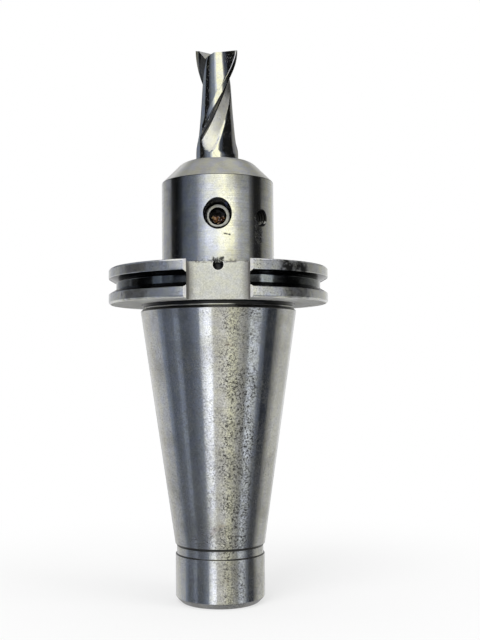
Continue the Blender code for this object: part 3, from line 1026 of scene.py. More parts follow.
@dataclass(frozen=True)
class TappedHole:
    """A countersunk, tapped hole that runs from the nose's surface to the bore."""

    radius: float
    mouth: float
    pitch: float
    angle: float
    height: float

    def drill(self) -> bpy.types.Object:
        """Make the drill and countersink, in place.

        Returns:
            The tool.
        """
        sink = self.mouth - self.radius
        outline = [
            (0.0, NOSE_RADIUS + 0.004),
            (self.mouth + 0.004, NOSE_RADIUS + 0.004),
            (self.radius, NOSE_RADIUS - sink),
            (self.radius, 0.0025),
            (0.0, 0.0025),
        ]
        tool = turn("hole_tool", outline, 96)
        aim_outward(tool, self.angle, 0.0, self.height)
        return tool

    def tap(self) -> bpy.types.Object:
        """Make the tap, in place.

        Returns:
            The tool.
        """
        tool = threaded_rod(
            "tap", self.radius + self.pitch * 0.36, self.radius - THREAD_OVERLAP, self.pitch, 0.003,
            NOSE_RADIUS + 0.003, 48)
        aim_outward(tool, self.angle, 0.0, self.height)
        return tool


@dataclass
class TurnedHolder:
    """The body: tail, taper, flange and nose, with its slots, bore and tapped holes."""

    steps: int = 240
    tail_radius: float = 0.0198
    tail_chamfer: float = 0.0025
    tail_groove_bottom: float = 0.0210
    tail_groove_depth: float = 0.0006
    flange_radius: float = 0.0492070
    flange_chamfer: float = 0.0008
    groove_opening: float = 0.00703
    groove_depth: float = 0.0034
    neck_depth: float = 0.0012
    nose_root: float = 0.0008
    crown_height: float = 0.0098
    crown_radius: float = 0.008
    mouth_chamfer: float = 0.0005
    bore_depth: float = 0.065
    centre_bore_radius: float = 0.008
    drawbar_radius: float = 0.0111
    drawbar_depth: float = 0.045
    drawbar_chamfer: float = 0.0016
    drawbar_thread: float = 0.0015
    drawbar_pitch: float = 0.003175
    screw_holes: tuple[TappedHole, TappedHole] = (
        TappedHole(0.00575, 0.00685, SCREW_PITCH, 0.0, LOCK_SCREW_Z),
        TappedHole(0.00335, 0.00385, SIDE_SCREW_PITCH, SIDE_SCREW_ANGLE, SIDE_SCREW_Z))
    slot_width: float = 0.026
    slot_chamfer: float = 0.00126
    slot_flare: float = 0.006
    front_floor: float = 0.0355
    back_floor: float = 0.0377
    slot_hole_radius: float = 0.00185
    slot_hole_mouth: float = 0.0023
    slot_hole_depth: float = 0.005
    slot_hole_drop: float = 0.0014
    edge_break: float = 0.00014
    inside_to: float = 0.0128
    nose_from: float = 0.0248
    flange_from: float = 0.0333
    near: float = 0.0001

    def outline(self) -> list[Point]:
        """Return the closed outline of the turned body, clockwise from the bore's mouth.

        Returns:
            Points of radius and height.
        """
        drop = self.crown_radius * (1 - math.cos(math.radians(45)))
        run = self.crown_radius * math.sin(math.radians(45))
        face_radius = NOSE_RADIUS - (self.crown_height - drop) - run
        groove_middle = (FLANGE_BOTTOM + FLANGE_TOP) / 2
        half_opening = self.groove_opening / 2
        half_floor = half_opening - self.groove_depth * math.tan(math.radians(30))
        floor_radius = self.flange_radius - self.groove_depth
        neck_radius = GAUGE_RADIUS - self.neck_depth
        groove_radius = self.tail_radius - self.tail_groove_depth
        taper_end = GAUGE_RADIUS - (GAUGE_Z - TAIL_TOP) * 7 / 48
        bore_radius = SHANK_RADIUS + FIT_GAP
        drill_cone = (self.drawbar_radius - self.centre_bore_radius) * DRILL_SLOPE
        shank_bottom = NOSE_FACE - self.bore_depth
        rim = self.flange_radius
        edge = self.flange_chamfer
        points = [(bore_radius + self.mouth_chamfer, NOSE_FACE)]
        points += arc((face_radius, NOSE_FACE - self.crown_radius), self.crown_radius, 90, 45, 10)
        points.append((NOSE_RADIUS, NOSE_FACE - self.crown_height))
        root = self.nose_root
        points += arc((NOSE_RADIUS + root, FLANGE_TOP + root), root, 180, 270, 5)
        points += [(rim - edge, FLANGE_TOP), (rim, FLANGE_TOP - edge)]
        points += [
            (rim, groove_middle + half_opening),
            (floor_radius, groove_middle + half_floor),
            (floor_radius, groove_middle - half_floor),
            (rim, groove_middle - half_opening),
        ]
        points += [(rim, FLANGE_BOTTOM + edge), (rim - edge, FLANGE_BOTTOM)]
        points += arc(
            (neck_radius + self.neck_depth, FLANGE_BOTTOM - self.neck_depth), self.neck_depth,
            90, 180, 6)
        points.append((neck_radius, GAUGE_Z + self.neck_depth))
        points.append((GAUGE_RADIUS, GAUGE_Z))
        points += [
            (taper_end, TAIL_TOP),
            (groove_radius, TAIL_TOP - 0.0003),
            (groove_radius, self.tail_groove_bottom + 0.0003),
            (self.tail_radius, self.tail_groove_bottom),
            (self.tail_radius, self.tail_chamfer),
            (self.tail_radius - self.tail_chamfer, 0.0),
            (self.drawbar_radius + self.drawbar_chamfer, 0.0),
            (self.drawbar_radius, self.drawbar_chamfer),
            (self.drawbar_radius, self.drawbar_depth),
            (self.centre_bore_radius, self.drawbar_depth + drill_cone),
            (self.centre_bore_radius, shank_bottom),
            (bore_radius, shank_bottom),
            (bore_radius, NOSE_FACE - self.mouth_chamfer),
        ]
        return eased(points, self.edge_break, math.radians(25))

    def slot_tool(self, floor: float, turned: float) -> bpy.types.Object:
        """Make the milling block of one drive slot, flared at the flange's rim.

        Args:
            floor: How far the slot's floor is from the axis.
            turned: The slot's side angle in radians.

        Returns:
            The tool, in place.
        """
        half = self.slot_width / 2
        corner = math.sqrt(self.flange_radius ** 2 - (half + self.slot_chamfer) ** 2)
        flare_start = corner - self.slot_chamfer
        flare = self.slot_flare
        tool = begin("slot_tool", bpy.ops.mesh.primitive_cube_add, size=1.0)
        height = FLANGE_TOP - GAUGE_Z + 0.008
        with editing(tool):
            bpy.ops.transform.resize(value=(self.slot_width, flare_start - floor, height))
            bpy.ops.transform.translate(
                value=(0.0, -(flare_start + floor) / 2, GAUGE_Z - 0.004 + height / 2))
            select_faces(tool, lambda middle, normal: normal.y < -0.9)
            bpy.ops.mesh.extrude_region_move(
                TRANSFORM_OT_translate={"value": (0.0, -flare, 0.0)})
            bpy.ops.transform.resize(value=((half + flare) / half, 1.0, 1.0))
        tool.rotation_euler.z = turned
        settle(tool)
        return tool

    def slot_hole_tool(self) -> bpy.types.Object:
        """Make the drill of the small hole in the front slot's floor.

        Returns:
            The tool, in place.
        """
        radius, mouth, depth = self.slot_hole_radius, self.slot_hole_mouth, self.slot_hole_depth
        outline = [
            (0.0, 0.004),
            (mouth, 0.004),
            (mouth, 0.0),
            (radius, radius - mouth),
            (radius, -depth),
            (0.0, -depth - radius * DRILL_SLOPE),
        ]
        tool = turn("slot_hole_tool", outline, 48)
        aim_outward(tool, 0.0, self.front_floor, FLANGE_TOP - self.slot_hole_drop)
        return tool

    def build(self) -> bpy.types.Object:
        """Turn the body, mill its slots, and drill and tap its holes.

        Returns:
            The finished piece.
        """
        body = turn("turned_holder", self.outline(), self.steps, closed=True)
        combine(body, self.slot_tool(self.front_floor, 0.0))
        combine(body, self.slot_tool(self.back_floor, math.pi))
        combine(body, self.slot_hole_tool())
        for hole in self.screw_holes:
            combine(body, hole.drill())
            combine(body, hole.tap())
        drawbar_tap = threaded_rod(
            "drawbar_tap", self.drawbar_radius + self.drawbar_thread,
            self.drawbar_radius - THREAD_OVERLAP, self.drawbar_pitch, -0.004,
            self.drawbar_depth - 0.004, 72)
        combine(body, drawbar_tap)
        tidy_shell(body)
        return body

    def flange_zone(self, middle: Vector, normal: Vector) -> Zone:
        """Say which surface a face of the flange belongs to.

        Args:
            middle: The face's middle.
            normal: The face's normal.

        Returns:
            Its zone.
        """
        near = self.near * 2
        across = abs(middle.x)
        if normal.z > 0.99 and middle.z > FLANGE_TOP - near:
            return Zone.LAND
        floor = min(abs(abs(middle.y) - level) for level in (self.front_floor, self.back_floor))
        if abs(normal.y) > 0.99 and across < self.slot_width / 2 + near and floor < near:
            return Zone.SLOT
        if across < 0.0025 and middle.y < 0.0:
            return Zone.INSIDE
        if abs(normal.x) > 0.99 and abs(across - self.slot_width / 2) < near:
            return Zone.SLOT_WALL
        slanted = abs(abs(normal.x) - abs(normal.y)) < 0.1 and abs(normal.z) < 0.1
        if slanted and across < self.slot_width / 2 + self.slot_chamfer + near:
            return Zone.SLOT_EDGE
        on_land = math.hypot(middle.x, middle.y) > self.flange_radius - 0.0009
        return Zone.LAND if on_land or abs(normal.z) > 0.9 else Zone.FLANK

    def zone(self, middle: Vector, normal: Vector) -> Zone:
        """Say which surface a face belongs to.

        Args:
            middle: The face's middle.
            normal: The face's normal.

        Returns:
            Its zone.
        """
        out = math.hypot(middle.x, middle.y)
        near = self.near
        if out > self.nose_from and abs(middle.z - FLANGE_TOP) < near and normal.z > 0.9:
            return Zone.LAND
        if FLANGE_BOTTOM - near < middle.z < FLANGE_TOP + near and out > self.flange_from:
            return Zone.UNDERSIDE if normal.z < -0.9 else self.flange_zone(middle, normal)
        on_wall = abs(normal.z) < 0.9 or middle.z > 0.01
        if out < self.inside_to and on_wall and middle.z < NOSE_FACE - near:
            return Zone.INSIDE
        if GAUGE_Z < middle.z < FLANGE_BOTTOM:
            return Zone.NECK
        if middle.z <= GAUGE_Z:
            return Zone.GROUND
        if middle.z > NOSE_FACE - self.crown_height:
            return Zone.CROWN
        expected = Vector((middle.x, middle.y, 0.0)).normalized()
        at_root = 0.0 < middle.z - FLANGE_TOP < 0.0009 and normal.z > -0.1
        if out > self.nose_from and (normal.dot(expected) > 0.97 or at_root):
            return Zone.TURNED
        at_side = middle.x > 0.010 and middle.z > FLANGE_TOP + 0.003
        return Zone.SIDE_HOLE if at_side else Zone.INSIDE

    def dress(self, body: bpy.types.Object) -> None:
        """Give each surface its finish.

        Args:
            body: The built piece.
        """
        finishes = {
            Zone.GROUND: TaperFinish(
                "ground_taper", (0.63, 0.63, 0.625), 0.11, line_share=0.10, speck_share=0.28,
                speck_colour=(0.035, 0.034, 0.032), rust_share=0.16, tint_share=0.3,
                grain_share=0.7, dirt_and_shade_dullness=0.30),
            Zone.TURNED: NoseFinish(
                "turned_nose", (0.72, 0.72, 0.71), 0.15, line_share=0.34, speck_share=0.10,
                speck_colour=(0.03, 0.03, 0.03), dirt_and_shade_dullness=0.15),
            Zone.CROWN: CrownFinish(
                "matte_crown", (0.43, 0.43, 0.41), 0.40, line_share=0.20, speck_share=0.20,
                speck_colour=(0.16, 0.155, 0.145), haze=0.25, tint_share=0.9, grain_share=0.6),
            Zone.LAND: LandFinish(
                "flange_land", (0.74, 0.745, 0.745), 0.18, line_share=0.20, cloud_share=0.16,
                speck_share=0.34, speck_colour=(0.015, 0.015, 0.015), haze=0.08, tint_share=0.5,
                grain_share=0.5, dirt_and_shade_gloss=0.05, dirt_and_shade_dullness=0.10),
            Zone.UNDERSIDE: SteelFinish(
                "flange_underside", (0.76, 0.76, 0.74), 0.35, line_share=0.2, speck_share=0.2,
                haze=0.55, tint_share=0.3),
            Zone.FLANK: GrooveFinish(
                "gripper_groove", (0.62, 0.66, 0.68), 0.12, cloud_share=0.2,
                stain_colour=(0.03, 0.04, 0.042), speck_share=0.3,
                speck_colour=(0.004, 0.004, 0.005), tint_share=0.5, dirt_and_shade_gloss=0.02,
                dirt_and_shade_dullness=0.05),
            Zone.SLOT: SlotFinish(
                "slot_floor", (0.61, 0.61, 0.585), 0.42, lay=Lay.EVEN, cloud_share=0.05,
                speck_share=0.16, speck_colour=(0.20, 0.19, 0.18), haze=0.25, tint_share=0.3,
                grain_share=0.6),
            # Near-black slot walls: painted shade.
            Zone.SLOT_WALL: SteelFinish(
                "slot_wall", (0.05, 0.05, 0.052), 0.40, lay=Lay.EVEN, speck_share=0.2),
            Zone.SLOT_EDGE: SteelFinish(
                "slot_edge", (0.80, 0.79, 0.75), 0.45, lay=Lay.EVEN, cloud_share=0.05,
                speck_share=0.08, haze=0.75),
            Zone.NECK: NeckFinish(
                "neck_painted_shade", (0.62, 0.62, 0.60), 0.26, cloud_share=0.1,
                speck_colour=(0.006, 0.006, 0.007), speck_share=0.2, dirt_and_shade_gloss=0.05,
                dirt_and_shade_dullness=0.1),
            # Bores and holes painted near-black as shade, with a painted bluish glint in the lock
            # screw's hole.
            Zone.INSIDE: HoleFinish(
                "bored_steel", (0.030, 0.030, 0.034), 0.34, cloud_share=0.2,
                stain_colour=(0.015, 0.015, 0.015), rub_and_highlight_colour=(0.16, 0.20, 0.42)),
            # The side screw's hole painted near-black as shade, with a painted pale glint.
            Zone.SIDE_HOLE: HoleFinish(
                "side_hole_steel", (0.020, 0.020, 0.022), 0.40, cloud_share=0.2,
                stain_colour=(0.012, 0.012, 0.012), rub_and_highlight_colour=(0.70, 0.70, 0.68),
                glint_x=(0.0152, 0.024), glint_z=(0.1663, 0.1673), glint_share=0.7),
        }
        for zone, finish in finishes.items():
            dress(body, finish, lambda *face, zone=zone: self.zone(*face) is zone)


@dataclass
class GroundEndMill:
    """The two-flute cutter with its shank."""

    shank_bottom: float = -0.0526
    shank_chamfer: float = 0.0008
    flat_length: float = 0.01156
    reach: float = 0.0519
    flute_end: float = 0.0022
    lift_start: float = 0.0223
    flutes: int = 2
    helix: float = math.radians(30)
    floor_distance: float = 0.0059
    floor_angle: float = math.radians(48)
    heel_radius: float = 0.0065
    back_radius: float = 0.0090
    back_straightness: float = 0.75
    margin_drop: float = 0.00022
    wheel_radius: float = 0.041
    rake_hook: float = math.radians(2)
    dish: float = math.tan(math.radians(2))
    end_land: float = 0.0011
    relief: float = math.tan(math.radians(8))
    clearance: float = math.tan(math.radians(25))
    gash: float = math.tan(math.radians(35))
    rake_end: float = 0.05
    shadow_end: float = 0.070
    dark_tip_height: float = 0.036
    floor_end: float = 0.32
    heel_end: float = 0.37
    back_end: float = 0.93
    margin_start: float = 0.937
    ring_spacing: float = 0.0004
    end_rings: int = 6

    def floor_radius(self, angle: float) -> float:
        """Return the radius of the flute's flat floor at an angle ahead of the cutting edge."""
        return self.floor_distance / math.cos(angle - self.floor_angle)

    def section(self, share: float, height: float) -> Point:
        """Return the radius, and the angle ahead of the edge, of a point on a flute's section.

        Args:
            share: Where the point is, from 0 at one cutting edge to 1 at the next.
            height: Its height above the nose's face, where the grinding wheel may draw away.

        Returns:
            The radius and the angle.
        """
        pitch = 2 * math.pi / self.flutes
        margin = SHANK_RADIUS - self.margin_drop
        angle = share * pitch
        lift = self.lift(angle, height)
        if share < self.rake_end:
            part = share / self.rake_end
            depth = SHANK_RADIUS - self.floor_radius(pitch * self.rake_end)
            radius = SHANK_RADIUS - depth * math.sin(part * math.pi / 2)
            hook = self.rake_hook * max(0.0, 1 - lift / depth) * math.sin(part * math.pi)
            angle = pitch * self.rake_end * part ** 3 - hook
        elif share < self.floor_end:
            radius = self.floor_radius(angle)
        elif share < self.heel_end:
            part = (share - self.floor_end) / (self.heel_end - self.floor_end)
            foot = self.floor_radius(pitch * self.floor_end)
            radius = foot + (self.heel_radius - foot) * part
        elif share < self.back_end:
            part = (share - self.heel_end) / (self.back_end - self.heel_end)
            rise = self.back_straightness * part + (1 - self.back_straightness) * part ** 3
            radius = self.heel_radius + (self.back_radius - self.heel_radius) * rise
        elif share < self.margin_start:
            radius = self.back_radius
        else:
            part = (share - self.margin_start) / (1 - self.margin_start)
            radius = margin + (SHANK_RADIUS - margin) * part
        return min(radius + lift, SHANK_RADIUS), angle

    def shares(self) -> list[float]:
        """Return where a flute's section has its points.

        Returns:
            Shares of the way from one cutting edge to the next.
        """
        shares = []
        for start, end, steps in (
            (0.0, self.rake_end, 14),
            (self.rake_end, self.floor_end, 12),
            (self.floor_end, self.heel_end, 4),
            (self.heel_end, self.back_end, 26),
            (self.back_end, self.margin_start, 2),
            (self.margin_start, 1.0, 5),
        ):
            shares += [start + (end - start) * step / steps for step in range(steps)]
        return shares

    def lift(self, angle: float, height: float) -> float:
        """Return how far the wheel has left the core, at an angle ahead of the cutting edge.

        Args:
            angle: The angle in radians.
            height: The height above the nose's face.

        Returns:
            The distance from the core.
        """
        below_start = (self.lift_start - height) / math.cos(self.helix)
        run = below_start - SHANK_RADIUS * angle * math.sin(self.helix)
        return max(0.0, run) ** 2 / (2 * self.wheel_radius)

    def end_drop(self, radius: float, angle: float) -> float:
        """Return how far the cutter's end lies under its corners, at a point ahead of an edge.

        Args:
            radius: The point's radius.
            angle: Its angle ahead of the edge, in radians.

        Returns:
            The drop under the corners.
        """
        along = radius * math.cos(angle)
        ahead = radius * math.sin(angle)
        land = min(ahead, self.end_land)
        relief = land * self.relief + (ahead - land) * self.clearance
        gash = max(0.0, min(ahead, along)) * self.gash
        return (SHANK_RADIUS - radius) * self.dish + relief + gash

    def on_helix(self, radius: float, angle: float, height: float) -> Vector:
        """Return a point on the helix, with an edge on +X at the cutter's tip."""
        turned = angle + self.twist(height)
        return Vector((radius * math.cos(turned), radius * math.sin(turned), height + NOSE_FACE))

    def twist(self, height: float) -> float:
        """Return how far the flutes have turned at a height, from where they are at the tip."""
        lead = 2 * math.pi * SHANK_RADIUS / math.tan(self.helix)
        return 2 * math.pi * (height - self.reach) / lead

    def ring(self, height: float, tip_share: float = 0.0) -> list[Vector]:
        """Return one section of the fluted length, drawn up towards the tip by a share.

        Args:
            height: The section's height above the nose's face.
            tip_share: How far it is drawn up, from 0 to 1.

        Returns:
            The section's points.
        """
        points = []
        for flute in range(self.flutes):
            for share in self.shares():
                radius, angle = self.section(share, height)
                tip = self.reach - self.end_drop(radius, max(angle, 0.0))
                level = height + (tip - height) * tip_share
                turned = angle + flute * 2 * math.pi / self.flutes
                points.append(self.on_helix(radius, turned, level))
        return points

    def round_ring(self, radius: float, height: float) -> list[Vector]:
        """Return a plain round section, with its points under those of the flutes' first one.

        Args:
            radius: The section's radius.
            height: The section's height above the nose's face.

        Returns:
            The section's points.
        """
        first = self.ring(self.flute_end)
        return [
            Vector((*(Vector((point.x, point.y)).normalized() * radius), height + NOSE_FACE))
            for point in first
        ]

    def rings(self) -> list[list[Vector]]:
        """Return every section, from the shank's end up to the tip.

        Returns:
            The points of each section.
        """
        chamfer = self.shank_chamfer
        rings = [
            self.round_ring(SHANK_RADIUS - chamfer, self.shank_bottom),
            self.round_ring(SHANK_RADIUS, self.shank_bottom + chamfer),
        ]
        deepest = max(self.end_drop(*self.section(share, self.reach)) for share in self.shares())
        end_zone = self.reach - deepest * 1.1
        count = round((end_zone - self.flute_end) / self.ring_spacing)
        for step in range(count + 1):
            rings.append(self.ring(self.flute_end + (end_zone - self.flute_end) * step / count))
        for step in range(1, self.end_rings + 1):
            rings.append(self.ring(end_zone, step / self.end_rings))
        return rings

    def build(self) -> bpy.types.Object:
        """Draw the sections up one by one, close both ends, and mill the flat.

        Returns:
            The finished piece.
        """
        rings = self.rings()
        cutter = begin(
            "ground_end_mill", bpy.ops.mesh.primitive_circle_add, vertices=len(rings[0]),
            radius=SHANK_RADIUS)
        with editing(cutter):
            self.place_ring(cutter, rings[0])
            bpy.ops.mesh.select_all(action="SELECT")
            for ring in rings[1:]:
                bpy.ops.mesh.extrude_region_move(
                    TRANSFORM_OT_translate={"value": (0.0, 0.0, MILLIMETRE)})
                self.place_ring(cutter, ring)
            bpy.ops.mesh.extrude_region_move()
            bpy.ops.mesh.merge(type="CENTER")
            bpy.ops.mesh.select_all(action="DESELECT")
            shape = bmesh.from_edit_mesh(cutter.data)
            for vertex in shape.verts:
                vertex.select_set(vertex.co.z < NOSE_FACE + self.shank_bottom + 0.0001)
            shape.select_flush_mode()
            bmesh.update_edit_mesh(cutter.data)
            bpy.ops.mesh.edge_face_add()
        tidy_shell(cutter)
        tool = begin("flat_tool", bpy.ops.mesh.primitive_cube_add, size=1.0)
        with editing(tool):
            bpy.ops.transform.resize(value=(0.03, 0.01, self.flat_length))
            bpy.ops.transform.translate(value=(0.0, -FLAT_DISTANCE - 0.005, LOCK_SCREW_Z))
        combine(cutter, tool)
        return cutter

    def place_ring(self, cutter: bpy.types.Object, ring: Sequence[Vector]) -> None:
        """Move the newest ring of vertices to its section.

        Args:
            cutter: The piece, in edit mode.
            ring: The section's points.
        """
        shape = bmesh.from_edit_mesh(cutter.data)
        shape.verts.ensure_lookup_table()
        count = len(ring)
        newest = len(shape.verts) - count
        for index in range(newest, len(shape.verts)):
            vertex = shape.verts[index]
            below = [e.other_vert(vertex).index for e in vertex.link_edges]
            slot = next((i % count for i in below if i < newest), index % count)
            vertex.co = ring[slot]
        bmesh.update_edit_mesh(cutter.data)

    def dress(self, cutter: bpy.types.Object) -> None:
        """Give the flutes and the shank their finish.

        Args:
            cutter: The built piece.
        """
        dress(cutter, SteelFinish(
            "polished_cutter", (0.76, 0.755, 0.735), 0.07, lay=Lay.EVEN, line_share=0.05,
            line_depth=0.0000004, cloud_share=0.12, speck_share=0.20, tint_share=0.6,
            speck_colour=(0.10, 0.10, 0.10), dirt_and_shade_gloss=0.10))
        dress(cutter, FluteFinish(
            "ground_flute", (0.72, 0.71, 0.66), 0.32, lay=Lay.UP, line_share=0.16,
            cloud_share=0.10, speck_share=0.22, speck_colour=(0.025, 0.025, 0.026), haze=0.40,
            tint_share=0.4, dirt_and_shade_dullness=0.1), self.in_flute)
        # Near-black rake faces under the cutting edges, and their feet: painted shade.
        dress(cutter, SteelFinish(
            "rake_painted_shade", (0.035, 0.035, 0.04), 0.20, lay=Lay.EVEN, speck_share=0.1),
            self.on_rake)
        # The lands' upper ends, darker towards the tip.
        dress(cutter, SteelFinish(
            "dark_land_tip", (0.13, 0.13, 0.12), 0.30, lay=Lay.EVEN, speck_share=0.4,
            speck_colour=(0.02, 0.02, 0.02), dirt_and_shade_dullness=0.1),
            self.on_dark_land_tip)
        dress(cutter, SteelFinish(
            "ground_end", (0.32, 0.32, 0.31), 0.32, lay=Lay.EVEN, line_share=0.2,
            speck_share=0.3, haze=0.2), self.at_end)

    def share_at(self, middle: Vector) -> float:
        """Return where a point of the fluted length lies on its flute's section, from 0 to 1.

        Args:
            middle: A face's middle.

        Returns:
            The share.
        """
        pitch = 2 * math.pi / self.flutes
        turned = self.twist(middle.z - NOSE_FACE)
        return ((math.atan2(middle.y, middle.x) - turned) % pitch) / pitch

    def cut_by_wheel(self, middle: Vector) -> bool:
        """Say whether a face lies inside the shank's round, above the nose."""
        inside = math.hypot(middle.x, middle.y) < SHANK_RADIUS - 0.00008
        return inside and middle.z > NOSE_FACE

    def in_flute(self, middle: Vector, _: Vector) -> bool:
        """Say whether a face belongs to the ground floor of a flute."""
        share = self.share_at(middle)
        return self.cut_by_wheel(middle) and self.shadow_end < share < self.floor_end + 0.01

    def on_rake(self, middle: Vector, _: Vector) -> bool:
        """Say whether a face belongs to the rake face under a cutting edge, or to its foot."""
        share = self.share_at(middle)
        return self.cut_by_wheel(middle) and (share <= self.shadow_end or share > 0.9985)

    def on_dark_land_tip(self, middle: Vector, _: Vector) -> bool:
        """Say whether a face belongs to the upper end of a land, next to the cutting edge."""
        high = middle.z > NOSE_FACE + self.dark_tip_height
        return high and self.share_at(middle) > self.margin_start

    def at_end(self, middle: Vector, normal: Vector) -> bool:
        """Say whether a face belongs to the ground end of the cutter."""
        return normal.z > 0.5 and middle.z > NOSE_FACE + self.reach - 0.012


@dataclass
class SetScrew:
    """A headless socket set screw with its thread, along its own Z with the tip at 0."""

    name: str
    radius: float
    length: float
    pitch: float
    head_chamfer: float
    tip_chamfer: float
    across_flats: float
    key_depth: float
    angle: float
    distance: float
    height: float
    finish: SteelFinish

    def build(self) -> bpy.types.Object:
        """Roll the thread, turn both ends, and press the key socket.

        Returns:
            The finished piece, in its place.
        """
        screw = threaded_rod(
            self.name, self.radius, self.radius - self.pitch * 0.42, self.pitch, -0.001,
            self.length + 0.001, 72)
        envelope = turn("screw_envelope", [
            (0.0, self.length),
            (self.radius - self.head_chamfer, self.length),
            (self.radius + 0.0002, self.length - self.head_chamfer - 0.0002),
            (self.radius + 0.0002, self.tip_chamfer + 0.0002),
            (self.radius - self.tip_chamfer, 0.0),
            (0.0, 0.0),
        ], 72)
        combine(screw, envelope, "INTERSECT")
        combine(screw, self.key_tool())
        clear_slivers(screw)
        aim_outward(screw, self.angle, self.distance, self.height)
        return screw

    def key_tool(self) -> bpy.types.Object:
        """Make the six-sided tool of the key socket, with its chamfered mouth and drill point.

        Returns:
            The tool.
        """
        corner = self.across_flats / math.sqrt(3)
        depth = self.key_depth + 0.002
        tool = begin(
            "key_tool", bpy.ops.mesh.primitive_cylinder_add, vertices=6, radius=corner,
            depth=depth, location=(0.0, 0.0, self.length + 0.002 - depth / 2))
        settle(tool)
        point = turn("drill_point", [
            (0.0, self.length + 0.0005),
            (corner * 1.06 + 0.0005, self.length + 0.0005),
            (corner * 0.86, self.length - corner * 0.20),
            (corner * 0.86, self.length - self.key_depth),
            (0.0, self.length - self.key_depth - corner * 0.4),
        ], 48)
        combine(tool, point, "UNION")
        return tool

    def in_socket(self, middle: Vector, _: Vector) -> bool:
        """Say whether a face belongs to the key socket.

        Args:
            middle: The face's middle.

        Returns:
            Whether it does.
        """
        outward = Vector((math.sin(self.angle), -math.cos(self.angle), 0.0))
        place = middle - outward * self.distance - Vector((0.0, 0.0, self.height))
        along = place.dot(outward)
        off_axis = (place - outward * along).length
        return off_axis < self.across_flats * 0.62 and along < self.length - 0.00001

    def dress(self, screw: bpy.types.Object) -> None:
        """Give the screw its finish, and the key socket painted shade.

        Args:
            screw: The built piece.
        """
        dress(screw, self.finish)
        # The key socket painted near-black: painted shade.
        socket_shade = SteelFinish(
            self.name + "_socket", (0.022, 0.022, 0.024), 0.45, lay=Lay.EVEN,
            stain_colour=(0.012, 0.012, 0.012))
        dress(screw, socket_shade, self.in_socket)


@dataclass
class SocketDebris:
    """Rusty chips that lie packed in the bottom of the lock screw's key socket."""

    chips: int = 40
    chip_size: float = 0.0008
    cleavage: tuple[tuple[float, float, float], ...] = (
        (0.8, 0.3, 0.5), (-0.6, 0.7, 0.3), (0.2, -0.9, 0.4), (-0.4, -0.3, -0.85))
    spread: float = 0.0025
    floor: float = 0.0130
    seed: int = 11

    def chip(self, name: str) -> bpy.types.Object:
        """Break one chip out of a lump by cutting flats on it at odd angles.

        Args:
            name: The new object's name.

        Returns:
            The chip.
        """
        chip = begin(
            name, bpy.ops.mesh.primitive_ico_sphere_add, subdivisions=3, radius=self.chip_size)
        with editing(chip):
            for plane in self.cleavage:
                normal = Vector(plane).normalized()
                bpy.ops.mesh.select_all(action="SELECT")
                bpy.ops.mesh.bisect(
                    plane_co=normal * self.chip_size * 0.62, plane_no=normal,
                    clear_outer=True, use_fill=True)
        tidy_shell(chip)
        return chip

    def build(self) -> bpy.types.Object:
        """Strew the chips over the socket's floor, thickest at its lower side.

        Returns:
            The finished piece.
        """
        chance = random.Random(self.seed)
        first = self.chip("socket_debris")
        heap = []
        for number in range(self.chips):
            chip = first.copy()
            chip.data = first.data.copy()
            bpy.context.scene.collection.objects.link(chip)
            around = chance.uniform(0.0, 2 * math.pi)
            out = self.spread * math.sqrt(chance.random())
            chip.location = (
                out * math.cos(around),
                -self.floor - chance.uniform(-0.0004, 0.0006),
                LOCK_SCREW_Z + out * math.sin(around) - 0.0003)
            chip.rotation_euler = [chance.uniform(0.0, 2 * math.pi) for _ in range(3)]
            chip.scale = [chance.uniform(0.55, 1.1) for _ in range(3)]
            settle(chip)
            heap.append(chip)
        make_only(first)
        bpy.ops.object.delete()
        make_only(heap[0])
        for chip in heap:
            chip.select_set(True)
        bpy.ops.object.join()
        crust = bpy.context.object
        crust.name = crust.data.name = "socket_debris"
        return crust

    def dress(self, crust: bpy.types.Object) -> None:
        """Give the chips their finish."""
        dress(crust, DebrisFinish("rusty_debris"))


# Studio


@dataclass(frozen=True)
class Card:
    """A panel that the steel mirrors, between two side angles in degrees, with a fading glow."""

    left: int
    right: int
    glow_left: float
    glow_right: float
    tint: Colour = (1.0, 1.0, 1.0)

    def covers(self, middle: Vector, _: Vector) -> bool:
        """Say whether a face of the round wall belongs to this panel."""
        return self.left < math.degrees(math.atan2(middle.x, -middle.y)) < self.right


COOL = (0.84, 0.96, 1.20)
WARM = (1.05, 1.04, 0.82)

TOP_CARDS = (
    Card(-180, -150, 0.03, 0.10),
    Card(-150, -108, 0.26, 0.20, COOL),
    Card(-108, -76, 0.01, 0.01),
    Card(-76, -60, 0.06, 0.18, COOL),
    Card(-60, -38, 0.22, 0.34, COOL),
    Card(-38, -26, 0.50, 1.00, (0.94, 1.0, 1.10)),
    Card(-26, 16, 1.25, 1.35, WARM),
    Card(16, 24, 0.60, 0.20),
    Card(24, 44, 0.12, 0.05, COOL),
    Card(44, 112, 0.01, 0.01),
    Card(112, 150, 0.12, 0.35),
    Card(150, 180, 0.30, 0.10),
)

UPPER_CARDS = (
    Card(-180, -166, 0.10, 0.10),
    Card(-166, -150, 0.80, 0.70),
    Card(-150, -109, 0.52, 0.24, (0.98, 1.0, 1.04)),
    Card(-109, -90, 0.03, 0.0),
    Card(-90, -76, 0.0, 0.04, COOL),
    Card(-76, -42, 0.10, 0.24, COOL),
    Card(-42, -22, 0.28, 1.05, (0.93, 1.0, 1.16)),
    Card(-22, 0, 1.15, 1.25, (0.96, 1.0, 1.07)),
    Card(0, 12, 1.42, 1.56, (1.03, 1.03, 0.92)),
    Card(12, 33, 1.56, 1.42, WARM),
    Card(33, 44, 1.05, 0.58, (1.0, 1.0, 0.95)),
    Card(44, 66, 0.58, 0.33, (0.97, 1.0, 1.0)),
    Card(66, 78, 0.17, 0.01),
    Card(78, 98, 0.01, 0.02),
    Card(98, 150, 0.14, 0.66, (1.0, 1.0, 0.94)),
    Card(150, 166, 0.75, 0.90),
    Card(166, 180, 0.10, 0.10),
)

